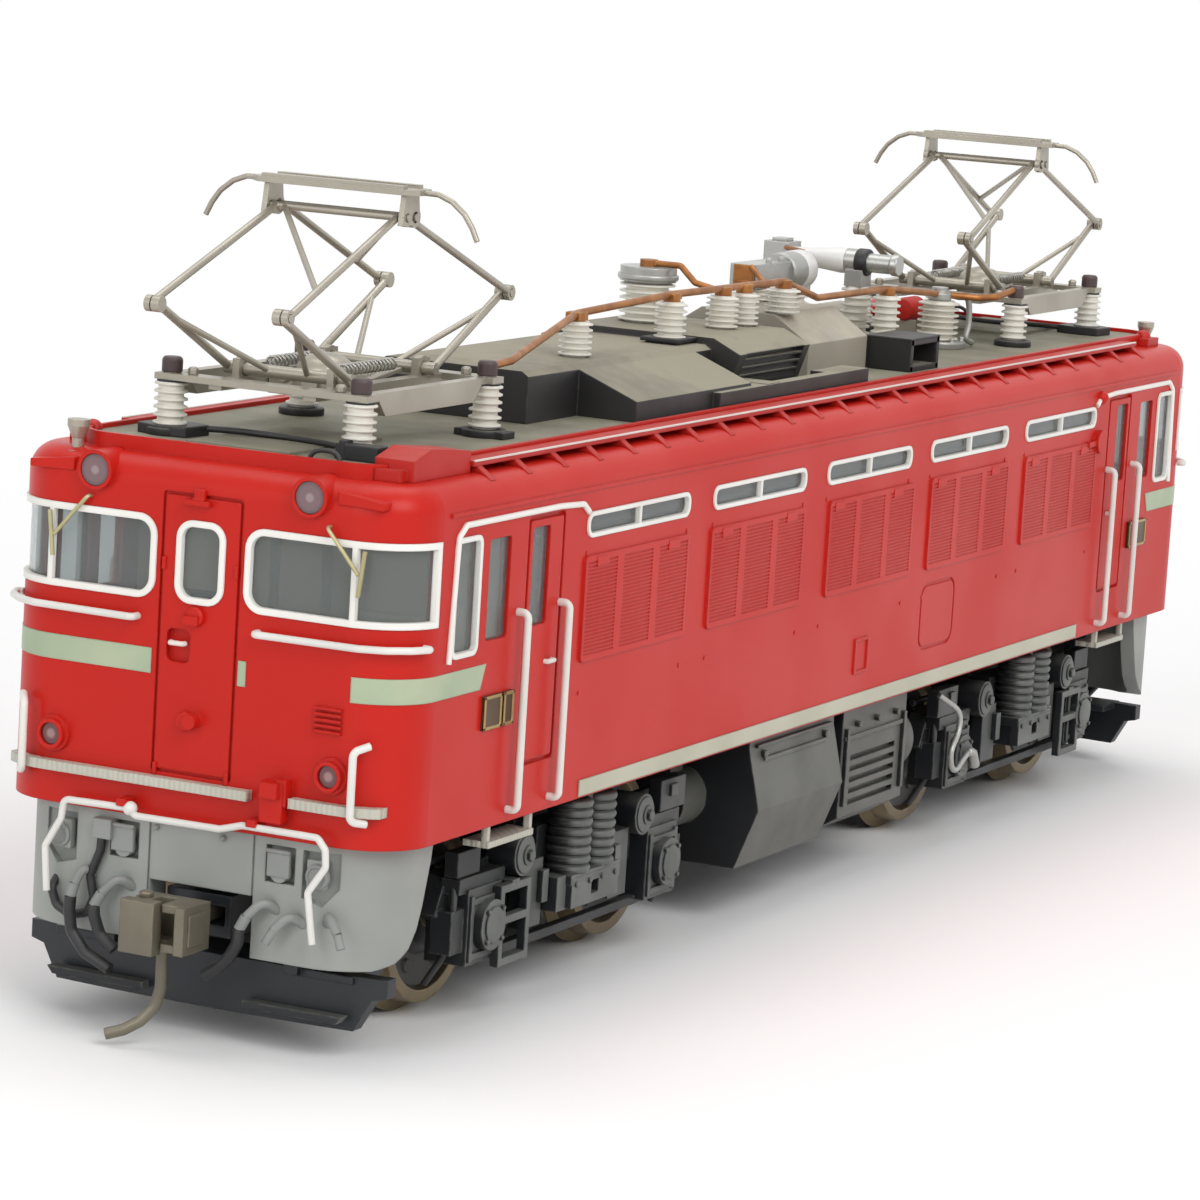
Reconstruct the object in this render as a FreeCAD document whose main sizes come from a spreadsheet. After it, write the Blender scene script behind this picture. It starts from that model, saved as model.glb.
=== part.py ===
import FreeCAD, Part
import Sketcher
import math
import os
from FreeCAD import Placement, Rotation, Vector

doc = FreeCAD.newDocument("model_electric_locomotive")
sheet = doc.addObject("Spreadsheet::Sheet", "dims")
driving = (
    ("body_length", 167.0),  # over the end faces
    ("body_width", 35.0),
    ("corner_radius", 5.0),
    ("skirt_height", 16.7),
    ("roof_height", 43.6),
    ("eaves_radius", 2.2),
    ("wall", 1.0),
    ("deck_top", 44.4),
    ("bogie_offset", 47.5),  # swivel centres from the middle
    ("axle_offset", 15.625),  # axles from the swivel centre
    ("axle_height", 7.9),
    ("axle_radius", 1.0),
    ("tread_radius", 7.0),
    ("flange_radius", 7.9),
    ("wheel_back", 7.15),
    ("wheel_width", 2.8),
    ("drive_height", 20.65),  # motor shaft
    ("worm_height", 14.65),
    ("shaft_radius", 0.8),
    ("running_fit", 0.05),
    ("motor_length", 26.0),
    ("motor_width", 16.0),
    ("flywheel_radius", 5.6),
    ("pantograph_offset", 65.3),
    ("insulator_span", 10.0),  # half the spacing along the locomotive
    ("insulator_gauge", 8.2),  # half the spacing across it
    ("pivot_height", 49.6),
    ("pivot_spread", 6.6),
    ("lower_arm", 12.1),
    ("upper_arm", 18.1),
    ("head_spread", 0.6),
    ("rest_angle", 26.5),
    ("arm_gauge", 5.2),
    ("coupler_height", 9.6),
    ("coupler_pivot", 77.0),
    ("coupler_face", 88.6),
    ("knuckle_offset", 1.55),
)
for row, (alias, value) in enumerate(driving, start=1):
    sheet.set(f"A{row}", alias)
    sheet.set(f"B{row}", str(value))
    sheet.setAlias(f"B{row}", alias)
doc.recompute()
size = {alias: float(sheet.get(alias)) for alias, value in driving}

half_length = size["body_length"] / 2
half_width = size["body_width"] / 2
sides = (-1, 1)
nodes = []


def bind(item, prop, value):
    item.setExpression(prop, value if isinstance(value, str) else f"{value:.6g}")


def place(item, at):
    for axis, value in zip("xyz", at):
        bind(item, f"Placement.Base.{axis}", value)
    return item


def block(extent, at):
    """A box centred on x and y, standing on z."""
    item = doc.addObject("Part::Box", "block")
    for prop, value in zip(("Length", "Width", "Height"), extent):
        bind(item, prop, value)
    long, wide, _ = extent
    return place(item, (f"({at[0]}) - ({long}) / 2", f"({at[1]}) - ({wide}) / 2", f"{at[2]}"))


def drum(radius, length, at, axis="z"):
    """A cylinder that starts at a point and runs along an axis."""
    item = doc.addObject("Part::Cylinder", "drum")
    bind(item, "Radius", radius)
    bind(item, "Height", length)
    turns = {"x": Rotation(Vector(0, 1, 0), 90), "y": Rotation(Vector(1, 0, 0), -90)}
    item.Placement = Placement(Vector(), turns.get(axis, Rotation()))
    return place(item, at)


def cone(lower, upper, length, at, axis="z"):
    item = doc.addObject("Part::Cone", "cone")
    bind(item, "Radius1", lower)
    bind(item, "Radius2", upper)
    bind(item, "Height", length)
    turns = {"x": Rotation(Vector(0, 1, 0), 90), "y": Rotation(Vector(1, 0, 0), -90)}
    item.Placement = Placement(Vector(), turns.get(axis, Rotation()))
    return place(item, at)


def rod(start, end, radius):
    """A round bar between two points."""
    start, end = Vector(*start), Vector(*end)
    item = doc.addObject("Part::Cylinder", "rod")
    bind(item, "Radius", radius)
    item.Height = (end - start).Length
    item.Placement = Placement(start, Rotation(Vector(0, 0, 1), end - start))
    return item


def ball(radius, at):
    item = doc.addObject("Part::Sphere", "ball")
    bind(item, "Radius", radius)
    return place(item, at)


def bent(points, radius):
    """A wire swept through several points, its corners rounded."""
    points = [Vector(*point) for point in points]
    edges = []
    start = points[0]
    for before, corner, after in zip(points, points[1:], points[2:]):
        back, ahead = before - corner, after - corner
        room = 0.45 * min(back.Length, ahead.Length)
        half = back.getAngle(ahead) / 2
        cut = min(max(2 * radius / math.tan(half), 0.1), room)
        inward = (back.normalize() + ahead.normalize()).normalize()
        leave, enter = corner + back * cut, corner + ahead * cut
        crest = corner + inward * (cut / math.cos(half) - cut * math.tan(half))
        edges.append(Part.LineSegment(start, leave).toShape())
        edges.append(Part.Arc(leave, crest, enter).toShape())
        start = enter
    edges.append(Part.LineSegment(start, points[-1]).toShape())
    ring = Part.Circle(points[0], points[1] - points[0], radius).toShape()
    return [free(Part.Wire(edges).makePipeShell([Part.Wire(ring)], True, False), "wire")]


def free(shape, name="form"):
    item = doc.addObject("Part::Feature", name)
    item.Shape = shape
    return item


def fuse(items, label="fuse"):
    item = doc.addObject("Part::MultiFuse", label)
    item.Shapes = items
    item.Refine = True
    return item


def single(items):
    if not isinstance(items, list):
        return items
    return items[0] if len(items) == 1 else fuse(items)


def carve(base, tools, label="carve"):
    item = doc.addObject("Part::Cut", label)
    item.Base = single(base)
    item.Tool = single(tools)
    item.Refine = True
    return item


def mirror(source, normal, centre=(0, 0, 0)):
    item = doc.addObject("Part::Mirroring", "mirror")
    item.Source = source
    item.Base = Vector(*centre)
    item.Normal = Vector(*normal)
    return item


def turned(source):
    """The same piece at the other end of the locomotive."""
    return mirror(mirror(source, (1, 0, 0)), (0, 1, 0))


def node(item, label):
    item.Label = label
    nodes.append(item)
    return item


def rounded_sketch(body, name, length, width, radius, height):
    """A rounded rectangle on the body's own XY plane."""
    sketch = body.newObject("Sketcher::SketchObject", name)
    plane = [f for f in body.Origin.OriginFeatures if f.Role == "XY_Plane"][0]
    sketch.AttachmentSupport = [(plane, "")]
    sketch.MapMode = "FlatFace"
    bind(sketch, "AttachmentOffset.Base.z", height)
    a, b, r = 60.0, 12.0, 4.0
    corners = ((a - r, -b + r, -90), (a - r, b - r, 0), (-a + r, b - r, 90), (-a + r, -b + r, 180))
    lines = (
        ((-a + r, -b), (a - r, -b)), ((a, -b + r), (a, b - r)),
        ((a - r, b), (-a + r, b)), ((-a, b - r), (-a, -b + r)),
    )
    for (start, end), (cx, cy, angle) in zip(lines, corners):
        sketch.addGeometry(Part.LineSegment(Vector(*start, 0), Vector(*end, 0)))
        circle = Part.Circle(Vector(cx, cy, 0), Vector(0, 0, 1), r)
        sketch.addGeometry(Part.ArcOfCircle(circle, math.radians(angle), math.radians(angle + 90)))
    constrain = Sketcher.Constraint
    for i in range(8):
        j = (i + 1) % 8
        sketch.addConstraint(constrain("Tangent", i, 2, j, 1))
    for i in (0, 4):
        sketch.addConstraint(constrain("Horizontal", i))
        sketch.addConstraint(constrain("Vertical", i + 2))
    for i in (3, 5, 7):
        sketch.addConstraint(constrain("Equal", 1, i))
    sketch.addConstraint(constrain("Symmetric", 0, 1, 4, 1, -1, 1))
    bound = (
        (constrain("Radius", 1, r), radius),
        (constrain("DistanceX", 6, 1, 2, 1, 2 * a), length),
        (constrain("DistanceY", 0, 1, 4, 1, 2 * b), width),
    )
    for constraint, value in bound:
        index = sketch.addConstraint(constraint)
        bind(sketch, f"Constraints[{index}]", value)
    return sketch


def pad(body, sketch, length, name="pad"):
    item = body.newObject("PartDesign::Pad", name)
    item.Profile = sketch
    bind(item, "Length", length)
    return item


def pocket(body, sketch, length, name="pocket"):
    item = body.newObject("PartDesign::Pocket", name)
    item.Profile = sketch
    item.Reversed = True  # upwards, into the solid
    bind(item, "Length", length)
    return item


def rounded_box(long, wide, radius, bottom, top, at=(0, 0)):
    """A box on end with rounded corners in plan."""
    shape = Part.makeBox(long, wide, top - bottom, Vector(at[0] - long / 2, at[1] - wide / 2, bottom))
    upright = [e for e in shape.Edges if abs(e.tangentAt(e.FirstParameter).z) > 0.9]
    return shape.makeFillet(radius, upright)


def plan_wall(outside, inside, bottom, top):
    """A wall that follows the body's outline, between two offsets from its face."""
    long, wide, radius = size["body_length"], size["body_width"], size["corner_radius"]
    skin = [
        rounded_box(long + 2 * o, wide + 2 * o, radius + o, bottom, top) for o in (outside, -inside)
    ]
    return skin[0].cut(skin[1])


def slab(low, high, radius, along):
    """A box between two points, its four edges along one axis rounded."""
    low, high = Vector(*low), Vector(*high)
    span = high - low
    shape = Part.makeBox(span.x, span.y, span.z, low)
    index = "xyz".index(along)
    edges = [e for e in shape.Edges if abs(e.tangentAt(e.FirstParameter)[index]) > 0.9]
    return shape.makeFillet(radius, edges) if radius else shape


# Windows: (from, to, bottom, top, corner radius, rim), sides in x, ends in y.
clerestory = [(c - 9.2, c + 9.2, 37.4, 39.45, 0.9, 0.36) for c in (0, 22.9, 45.8)]
quarter_window = (72.4, 76.6, 30.4, 39.5, 0.8, 0.42)
second_window = (67.6, 71.0, 31.2, 38.9, 0.3, 0)
door_window = (61.2, 64.0, 31.5, 39.1, 0.3, 0)
end_window = (3.8, 16.9, 33.15, 39.5, 1.6, 0.52)
end_door_window = (-2.1, 2.1, 33.2, 39.45, 1.4, 0.5)
reach = half_width + 2


def tightened(radius, inset):
    return max(radius - inset, 0.15)


def side_slabs(window, inset=0.0):
    """Cutters for one window on both sides and both ends of the locomotive."""
    x0, x1, z0, z1, radius, _ = window
    spans = {(x0, x1), (-x1, -x0)}
    return [
        slab((a + inset, -reach, z0 + inset), (b - inset, reach, z1 - inset), tightened(radius, inset), "y")
        for a, b in sorted(spans)
    ]


def end_slabs(window, inset=0.0):
    y0, y1, z0, z1, radius, _ = window
    spans = {(y0, y1), (-y1, -y0)} if y0 > 0 else {(y0, y1)}
    parts = []
    for side in sides:
        for a, b in sorted(spans):
            inner, outer = (a, b) if abs(a) < abs(b) else (b, a)
            low = min(inner, outer) + (inset if inner < outer or y0 < 0 else 0)
            high = max(inner, outer) - (inset if inner > outer or y0 < 0 else 0)
            # The end window wraps the corner as far as the side of the body.
            far = inset if y0 > 0 else 0
            x0, x1 = sorted((side * (half_length - 4.7 + far), side * (half_length + 2)))
            if y0 > 0:
                low, high = (low - 3, high) if inner > outer else (low, high + 3)
            parts.append(slab((x0, low, z0 + inset), (x1, high, z1 - inset), tightened(radius, inset), "x"))
    return parts


side_windows = clerestory + [quarter_window, second_window, door_window]
end_windows = [end_window, end_door_window]


def merged(shapes):
    return shapes[0].multiFuse(shapes[1:]) if len(shapes) > 1 else shapes[0]


def openings(inset):
    shapes = []
    for window in side_windows:
        shapes += side_slabs(window, inset)
    for window in end_windows:
        shapes += end_slabs(window, inset)
    return Part.makeCompound(shapes)


# Body shell: a hollow casing with rounded corners and eaves.
core = doc.addObject("PartDesign::Body", "shell_core")
outline = rounded_sketch(
    core, "outline", "dims.body_length", "dims.body_width", "dims.corner_radius", "dims.skirt_height"
)
walls = pad(core, outline, "dims.roof_height - dims.skirt_height", "walls")
doc.recompute()


def edges_at(shape, height):
    found = []
    for number, edge in enumerate(shape.Edges, start=1):
        box = edge.BoundBox
        if abs(box.ZMin - height) < 1e-6 and abs(box.ZMax - height) < 1e-6:
            found.append(f"Edge{number}")
    return found


eaves = core.newObject("PartDesign::Fillet", "eaves")
eaves.Base = (walls, edges_at(walls.Shape, size["roof_height"]))
bind(eaves, "Radius", "dims.eaves_radius")
cavity = rounded_sketch(
    core,
    "cavity",
    "dims.body_length - 2 * dims.wall",
    "dims.body_width - 2 * dims.wall",
    "dims.corner_radius - dims.wall",
    "dims.skirt_height",
)
doc.recompute()
solid_volume = eaves.Shape.Volume
hollow = pocket(core, cavity, "dims.roof_height - dims.skirt_height - 1.6", "hollow")
core.Tip = hollow
doc.recompute()
assert hollow.Shape.Volume < solid_volume * 0.3
envelope = free(eaves.Shape.copy(), "envelope")

door_recess = []
door_gap = 0.35
for a, b in ((58.75, 64.85), (-64.85, -58.75)):
    outer = slab((a, -reach, 20.7), (b, reach, 40.0), 0.4, "y")
    inner = slab((a + door_gap, -reach, 20.7 + door_gap), (b - door_gap, reach, 40.0 - door_gap), 0.2, "y")
    door_recess.append(outer.cut(inner))
groove_depth = plan_wall(1.0, 0.3, size["skirt_height"] - 1, size["roof_height"])
seams = merged(door_recess).common(groove_depth)
end_door = slab((-reach * 6, -3.45, 20.3), (reach * 6, 3.45, 41.4), 0.3, "x").cut(
    slab((-reach * 6, -3.2, 20.55), (reach * 6, 3.2, 41.15), 0.2, "x")
)
end_seams = end_door.common(plan_wall(1.0, 0.25, 18, 43))
latch = []
for side in sides:
    x0, x1 = sorted((side * (half_length - 0.55), side * (half_length + 1)))
    y0, y1 = sorted((-side * 0.6, -side * 2.6))
    latch.append(slab((x0, y0, 28.7), (x1, y1, 31.2), 0.5, "x"))
cutters = free(Part.makeCompound([openings(0), seams, end_seams] + latch), "openings")

raised = []
louvre_panels = (-45.85, -23.0, 0.85, 23.4, 46.2)
panel_width, panel_low, panel_high = 18.6, 27.6, 36.0
panel_face = half_width + 0.2
slat_pitch, slat_count, slat_width, slat_depth = 0.3, 25, 5.2, 0.07
slats = []
for c in louvre_panels:
    for side in sides:
        x, inner = -side * c, side * (half_width - 0.4)
        y0, y1 = sorted((inner, side * panel_face))
        low, high = (x - panel_width / 2, y0, panel_low), (x + panel_width / 2, y1, panel_high)
        raised.append(free(slab(low, high, 0.5, "y")))
        for column in (-1, 0, 1):
            for k in range(slat_count):
                y0, y1 = sorted((side * (panel_face - slat_depth), side * (panel_face + 0.5)))
                corner = Vector(
                    x + column * 6.35 - slat_width / 2, y0, panel_low + 0.55 + k * slat_pitch
                )
                slats.append(Part.makeBox(slat_width, y1 - y0, slat_pitch / 2, corner))
slat_cuts = free(Part.makeCompound(slats), "louvre_cuts")

drip = []  # the rain strip over the cab windows and doors
for side in sides:
    y = side * (half_width + 0.1)
    for end in sides:
        path = ((76.9, 30.2), (76.3, 39.6), (75.2, 40.4), (59.9, 40.4), (56.0, 40.2), (55.0, 39.5))
        points = [(end * x, y, z) for x, z in path]
        drip += bent(points, 0.24)
roof_line = []
for side in sides:
    y = side * half_width
    roof_line.append(block((2 * (half_length - 6), 0.3, 0.35), (0, y, 41.1)))
rim_thick, rim_top = 0.4, 44.75  # upstand around the sunk deck
rim_outer = rounded_box(161 + 2 * rim_thick, 26.4 + 2 * rim_thick, 3.0 + rim_thick, 43.2, rim_top)
roof_rim = free(rim_outer.cut(rounded_box(161, 26.4, 3.0, 43.0, 45.0)), "roof_rim")

front = []
for end in sides:
    face = end * half_length
    for y in (-9.2, 9.2):  # headlight housings
        front.append(drum(1.5, 3.0, (min(face - 2.4 * end, face + 0.6 * end), y, 42.3), "x"))
    for y in (-12.0, 12.0):  # tail lamp bosses
        front.append(drum(1.4, 0.75, (min(face - 0.4 * end, face + 0.35 * end), y, 22.0), "x"))
        front.append(drum(1.15, 1.2, (min(face - 0.4 * end, face + 0.8 * end), y, 22.0), "x"))
    # Door knob, brackets and the small grille beside the tail lamp.
    front.append(drum(0.6, 1.3, (min(face - 0.3 * end, face + 1.0 * end), 0.1 * end, 24.5), "x"))
    front.append(block((1.2, 1.3, 0.7), (face + 0.1 * end, -end * 0.3, 31.7)))
    front.append(block((1.0, 2.2, 0.4), (face + 0.1 * end, -end * 0.3, 40.6)))
    for k in range(5):
        front.append(block((0.6, 2.3, 0.22), (face, end * 11.5, 25.1 + 0.43 * k)))
    # Jumper socket with its lid and hinge between the two footboard bars.
    front.append(block((1.5, 1.9, 3.1), (face + 0.4 * end, end * 7.6, 18.0)))
    front.append(block((2.1, 1.5, 1.2), (face + 0.6 * end, end * 7.6, 19.9)))
    front.append(block((1.2, 0.9, 2.0), (face + 0.4 * end, end * 8.3, 19.3)))
    for y in (-6.2, 5.0):  # carriers of the uncoupling lever
        front.append(block((1.6, 0.8, 0.55), (face + 0.7 * end, -end * y, 17.55)))
lens_seats = []
for end in sides:
    face = end * half_length
    for y in (-9.2, 9.2):
        lens_seats.append(drum(1.22, 2.0, (min(face + 1.5 * end, face - 0.5 * end), y, 42.3), "x"))
    for y in (-12.0, 12.0):
        lens_seats.append(drum(0.85, 2.0, (min(face + 1.6 * end, face - 0.4 * end), y, 22.0), "x"))
bosses = []
for side in sides:
    x = -side * 56.2
    bosses.append(drum(1.15, 0.5, (x, min(side * half_width, side * (half_width + 0.5)), 35.9), "y"))
    bosses.append(ball(0.65, (x, side * (half_width + 0.1), 40.2)))
    bosses.append(block((2.4, 0.5, 0.5), (x + side * 1.9, side * (half_width + 0.1), 35.6)))
hatches, hatch_lines = [], []
for side in sides:
    # Filler hatch, marked by an engraved line round its lid.
    x = side * -17.75
    y0, y1 = sorted((side * (half_width - 0.14), side * (half_width + 1)))
    lid = slab((x - 3.7, y0, 20.55), (x + 3.7, y1, 26.05), 1.05, "y")
    hatch_lines.append(free(slab((x - 4.0, y0, 20.25), (x + 4.0, y1, 26.35), 1.35, "y").cut(lid)))
    # Small raised frame of a blank plate beside the hatch.
    x = side * -0.75
    y0, y1 = sorted((side * 17.3, side * (half_width + 0.14)))
    rim = slab((x - 1.5, y0, 19.9), (x + 1.5, y1, 23.1), 0.2, "y")
    hatches.append(free(rim.cut(slab((x - 1.2, y0 - 1, 20.2), (x + 1.2, y1 + 1, 22.8), 0.15, "y"))))
boss_set = fuse(bosses)
shell_parts = fuse([core, roof_rim, boss_set] + raised + roof_line + front + hatches, "shell_parts")
trimmed = carve(shell_parts, [cutters, slat_cuts] + hatch_lines + lens_seats, "shell_trimmed")
node(trimmed, "body_shell")

# Window frames with the rain strip, and panes.
frame_ring = plan_wall(0.15, 0.3, 29, 41)
framed_outer = []
framed_inner = []
for window in clerestory + [quarter_window]:
    framed_outer += side_slabs(window)
    framed_inner += side_slabs(window, window[-1])
for window in end_windows:
    framed_outer += end_slabs(window)
    framed_inner += end_slabs(window, window[-1])
rings = Part.makeCompound(framed_outer).common(frame_ring).cut(Part.makeCompound(framed_inner))
mullions = [
    Part.makeBox(0.36, 2 * reach, 3, Vector(x - 0.18, -reach, 36.9))
    for x in (-45.8, -22.9, 0, 22.9, 45.8)
]
mullions += [
    Part.makeBox(2 * reach * 6, 0.46, 7, Vector(-reach * 6, side * 13.0 - 0.23, 32.9)) for side in sides
]
bars = Part.makeCompound(mullions).common(frame_ring).common(Part.makeCompound(framed_outer))
frames = free(merged([rings, bars]), "frames")
node(fuse([frames, carve(drip, [envelope, boss_set])]), "window_frames")

glass_ring = plan_wall(-0.3, 0.7, 29, 41)
node(free(openings(0).common(glass_ring), "glass"), "window_glazing")

# Roof: sunk deck, boards along both edges, hoods and the high tension gear.
deck = free(rounded_box(161, 26.4, 3.0, size["roof_height"], size["deck_top"]), "deck")
deck_parts = [deck] + [block((14, 9, 0.25), (x, 0, "dims.deck_top")) for x in (-72, 72)]

def prism(points, axis, start, end):
    """A straight bar whose section is given in the plane across one axis."""
    order = {
        "x": lambda u, v: Vector(start, u, v),
        "y": lambda u, v: Vector(u, start, v),
        "z": lambda u, v: Vector(u, v, start),
    }[axis]
    loop = [order(u, v) for u, v in points]
    step = {"x": Vector(1, 0, 0), "y": Vector(0, 1, 0), "z": Vector(0, 0, 1)}[axis] * (end - start)
    return Part.Face(Part.makePolygon(loop + loop[:1])).extrude(step)


boards = []
bracket_pitch, bracket_count = 6.05, 24
gusset = ((13.7, 44.1), (15.4, 44.1), (16.7, 43.15), (16.4, 42.4), (13.7, 42.9))
for side in sides:
    boards.append(block((141, 1.8, 0.4), (0, side * 14.55, 44.1)))
    section = [(side * y, z) for y, z in gusset]
    for k in range(bracket_count):
        x = (k - (bracket_count - 1) / 2) * bracket_pitch
        boards.append(free(prism(section, "x", x - 0.4, x + 0.4)))


base = size["deck_top"]
hood_ends = ((-6.8, base), (6.8, base), (6.8, 48.2), (6.2, 48.6), (-6.2, 48.6), (-6.8, 48.2))
sloped = ((-12.2, base), (12.2, base), (12.2, 46.1), (6.8, 48.2), (-6.8, 48.2), (-12.2, 46.1))
louvred = ((-8.4, base), (8.4, base), (9.6, 48.0), (7.0, 49.2), (-7.0, 49.2), (-9.6, 48.0))
hoods = [
    free(prism(hood_ends, "x", -45.5, -11.4)),
    free(prism(sloped, "x", -36.5, -14.5)),
    free(prism(louvred, "x", -11.4, 3.2)),
    block((3.2, 3.0, 0.3), (-13.1, -3.6, 48.55)),
]
hoods.append(block((2.6, 25.4, 1.5), (-10.9, 0, base)))
for side in sides:
    hoods.append(block((31.0, 2.6, 1.45), (-6.5, side * 11.6, base)))
intake = carve(
    block((6.6, 4.4, 3.0), (25.3, -9.2, base)), block((5.4, 3.4, 2.0), (25.3, -10.8, base + 0.5)), "intake"
)
slots = []
for side in sides:
    for k in range(4):
        slots.append(block((12.0, 3.0, 0.5), (-3.9, side * 10.2, 45.35 + 0.72 * k)))
node(fuse([carve(hoods, slots), intake]), "roof_hoods")

grey_section = ((-7.2, base), (7.2, base), (7.2, 47.4), (3.6, 49.8), (-3.6, 49.8), (-7.2, 47.4))
boxes = [free(prism(grey_section, "x", 8.4, 21.5)), block((6.0, 5.0, 1.8), (26.0, 5.5, base))]
boxes += [drum(1.35, 7.0, (39.5, 6.4, base + 2.2), "x"), block((4.6, 2.0, 1.2), (43.0, 6.4, base))]
boxes.append(block((3.6, 4.0, 0.6), (36.0, 0.4, base)))
boxes.append(drum(2.2, 0.6, (47.0, -3.6, base)))
node(fuse(boxes), "roof_boxes")


def insulator(at, height, radius, sheds):
    """A ribbed porcelain post with a narrow core."""
    x, y, z = at
    pitch = height / sheds
    core_radius = radius * 0.76
    profile = [Vector(0, 0, 0), Vector(core_radius, 0, 0)]
    for k in range(sheds):
        low = k * pitch
        for share, out in ((0.28, core_radius), (0.38, radius), (0.6, radius), (0.82, core_radius)):
            profile.append(Vector(out, 0, low + share * pitch))
    profile += [Vector(core_radius, 0, height), Vector(0, 0, height)]
    shape = Part.Face(Part.makePolygon(profile + profile[:1])).revolve(
        Vector(0, 0, 0), Vector(0, 0, 1), 360
    )
    shape.translate(Vector(x, y, z))
    return shape


bus_y, gear_y = -3.6, 3.2
breaker_x, breaker_z = 36.0, 52.8
carriers = (  # (x, foot, height, radius, sheds) of the posts under the busbar
    (-31.1, 48.6, 2.95, 1.4, 6), (-13.1, 48.85, 3.3, 1.4, 6), (-2.7, 49.2, 2.9, 1.45, 6),
    (1.7, 49.2, 2.9, 1.4, 6), (10.05, 49.8, 2.25, 1.6, 5), (34.0, base, 5.7, 1.35, 9),
    (47.0, base + 0.6, 3.9, 2.0, 7),
)
stacks = [
    free(insulator((x, bus_y, foot), tall, radius, sheds)) for x, foot, tall, radius, sheds in carriers
]
stacks += [
    free(insulator((-3.9, gear_y, 49.2), 3.6, 2.45, 6)),
    free(insulator((19.0, gear_y, 49.8), 1.3, 1.6, 3)),
    free(insulator((27.4, gear_y, base + 1.8), 3.95, 1.5, 6)),
    free(insulator((breaker_x, 8.4, base), 7.1, 1.3, 10)),
    free(insulator((breaker_x, 0.4, base + 0.6), 5.5, 1.45, 8)),
]

lift = 0.6  # the busbar runs this far above the posts
route = [(-54.4, -8.2, 49.9), (-51.0, -8.0, 50.0)]
for x, foot, tall, _, _ in carriers:
    route.append((x, bus_y, foot + tall + lift))
route.insert(-2, (17.8, bus_y, 50.75))  # dips behind the mechanism box
route += [(49.2, -6.6, 49.3), (50.8, -7.9, 49.4), (54.4, -8.2, 49.9)]  # under the lowered arms
bars = bent(route, 0.32)
for x, foot, tall, _, _ in carriers:
    bars.append(drum(0.75, 0.75, (x, bus_y, foot + tall)))
stack_top = 52.8
bars.append(drum(0.8, 0.6, (-3.9, gear_y, stack_top + 1.3)))
bars += bent(
    ((-3.9, gear_y, stack_top + 1.6), (-3.9, 0.1, stack_top + 1.6), (-4.4, -1.6, 53.1), (-4.4, bus_y, 52.7)),
    0.28,
)
bars.append(rod((15.6, gear_y, 51.7), (15.0, bus_y, 51.4), 0.28))
node(fuse(bars), "roof_busbars")

breaker = [
    drum(2.5, 1.3, (-3.9, gear_y, stack_top)),
    block((8.0, 2.6, 2.2), (20.0, gear_y, 51.1)),
    drum(1.75, 5.0, (24.0, gear_y, 52.2), "x"),
    block((2.6, 2.4, 0.8), (27.4, gear_y, 50.15)),
    block((2.8, 2.6, 2.6), (breaker_x, 8.4, 51.5)),
    cone(1.15, 0.75, 6.0, (breaker_x, 1.4, breaker_z), "y"),
    drum(1.2, 2.2, (breaker_x, -0.7, breaker_z), "y"),
    drum(0.9, 3.2, (breaker_x, -3.8, breaker_z), "y"),
    block((2.2, 1.8, 1.6), (breaker_x, 0.4, 50.5)),
    rod((28.8, gear_y, 52.2), (breaker_x, 7.6, breaker_z - 0.4), 0.5),
]
node(fuse(breaker), "roof_breaker")

# Whistles, their covers and the roof corner bumps.
end_gear = [
    drum(0.45, 1.0, (-81.6, 12.3, 43.2)), cone(0.5, 0.85, 0.9, (-81.6, 12.3, 44.2)),
    drum(0.85, 0.5, (-81.6, 12.3, 45.1)), drum(0.9, 0.4, (-81.6, 12.3, 42.9)),
]
whistle_pair = fuse(end_gear)
cover = [
    free(prism(((-79.4, 43.0), (-70.6, 43.0), (-70.6, 45.3), (-76.8, 45.9), (-79.4, 45.2)), "y",
               -15.2, -11.9)),
    block((1.2, 2.2, 1.3), (-79.7, -13.5, 43.2)),
]
cover_pair = fuse(cover)
bump = fuse([block((3.0, 2.2, 1.0), (-77.5, 13.6, 43.4)), ball(0.75, (-77.5, 13.6, 44.4))])
node(carve([whistle_pair, turned(whistle_pair)], envelope), "whistles")
board_items = boards + [cover_pair, turned(cover_pair), bump, turned(bump)]
node(carve(board_items, [envelope, deck, roof_rim]), "running_boards")

# Handrails, steps and the bars under the end faces.
rails = []
for side in sides:
    y = side * (half_width + 0.95)
    near = side * (half_width - 0.1)
    for x in (-66.0, -59.1, 59.1, 66.0):
        points = ((x, near, 32.9), (x, y, 32.9), (x, y, 17.7), (x, near, 17.7))
        rails += bent(points, 0.3)
for end in sides:
    face = end * (half_length - 0.1)
    out = end * (half_length + 0.85)
    for y0, y1 in ((5.2, 12.6),):
        for side in sides:
            corner = [
                (end * (half_length + 0.7 - 5.4 + 5.4 * math.cos(math.radians(a))),
                 side * (half_width + 0.7 - 5.4 + 5.4 * math.sin(math.radians(a))), 31.75)
                for a in (12, 34, 56, 74)
            ]
            points = [(face, side * y0, 31.75), (out, side * y0, 31.75)] + corner
            points.append((corner[-1][0], side * (half_width - 0.2), 31.75))
            rails += bent(points, 0.28)
    for side in sides:
        clear = out + end * 0.12
        points = ((face, side * 15.0, 24.6), (clear, side * 14.2, 24.2), (clear, side * 14.2, 19.0),
                  (face, side * 15.0, 18.8))
        rails += bent(points, 0.3)
node(carve(rails, envelope), "handrails")

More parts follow.
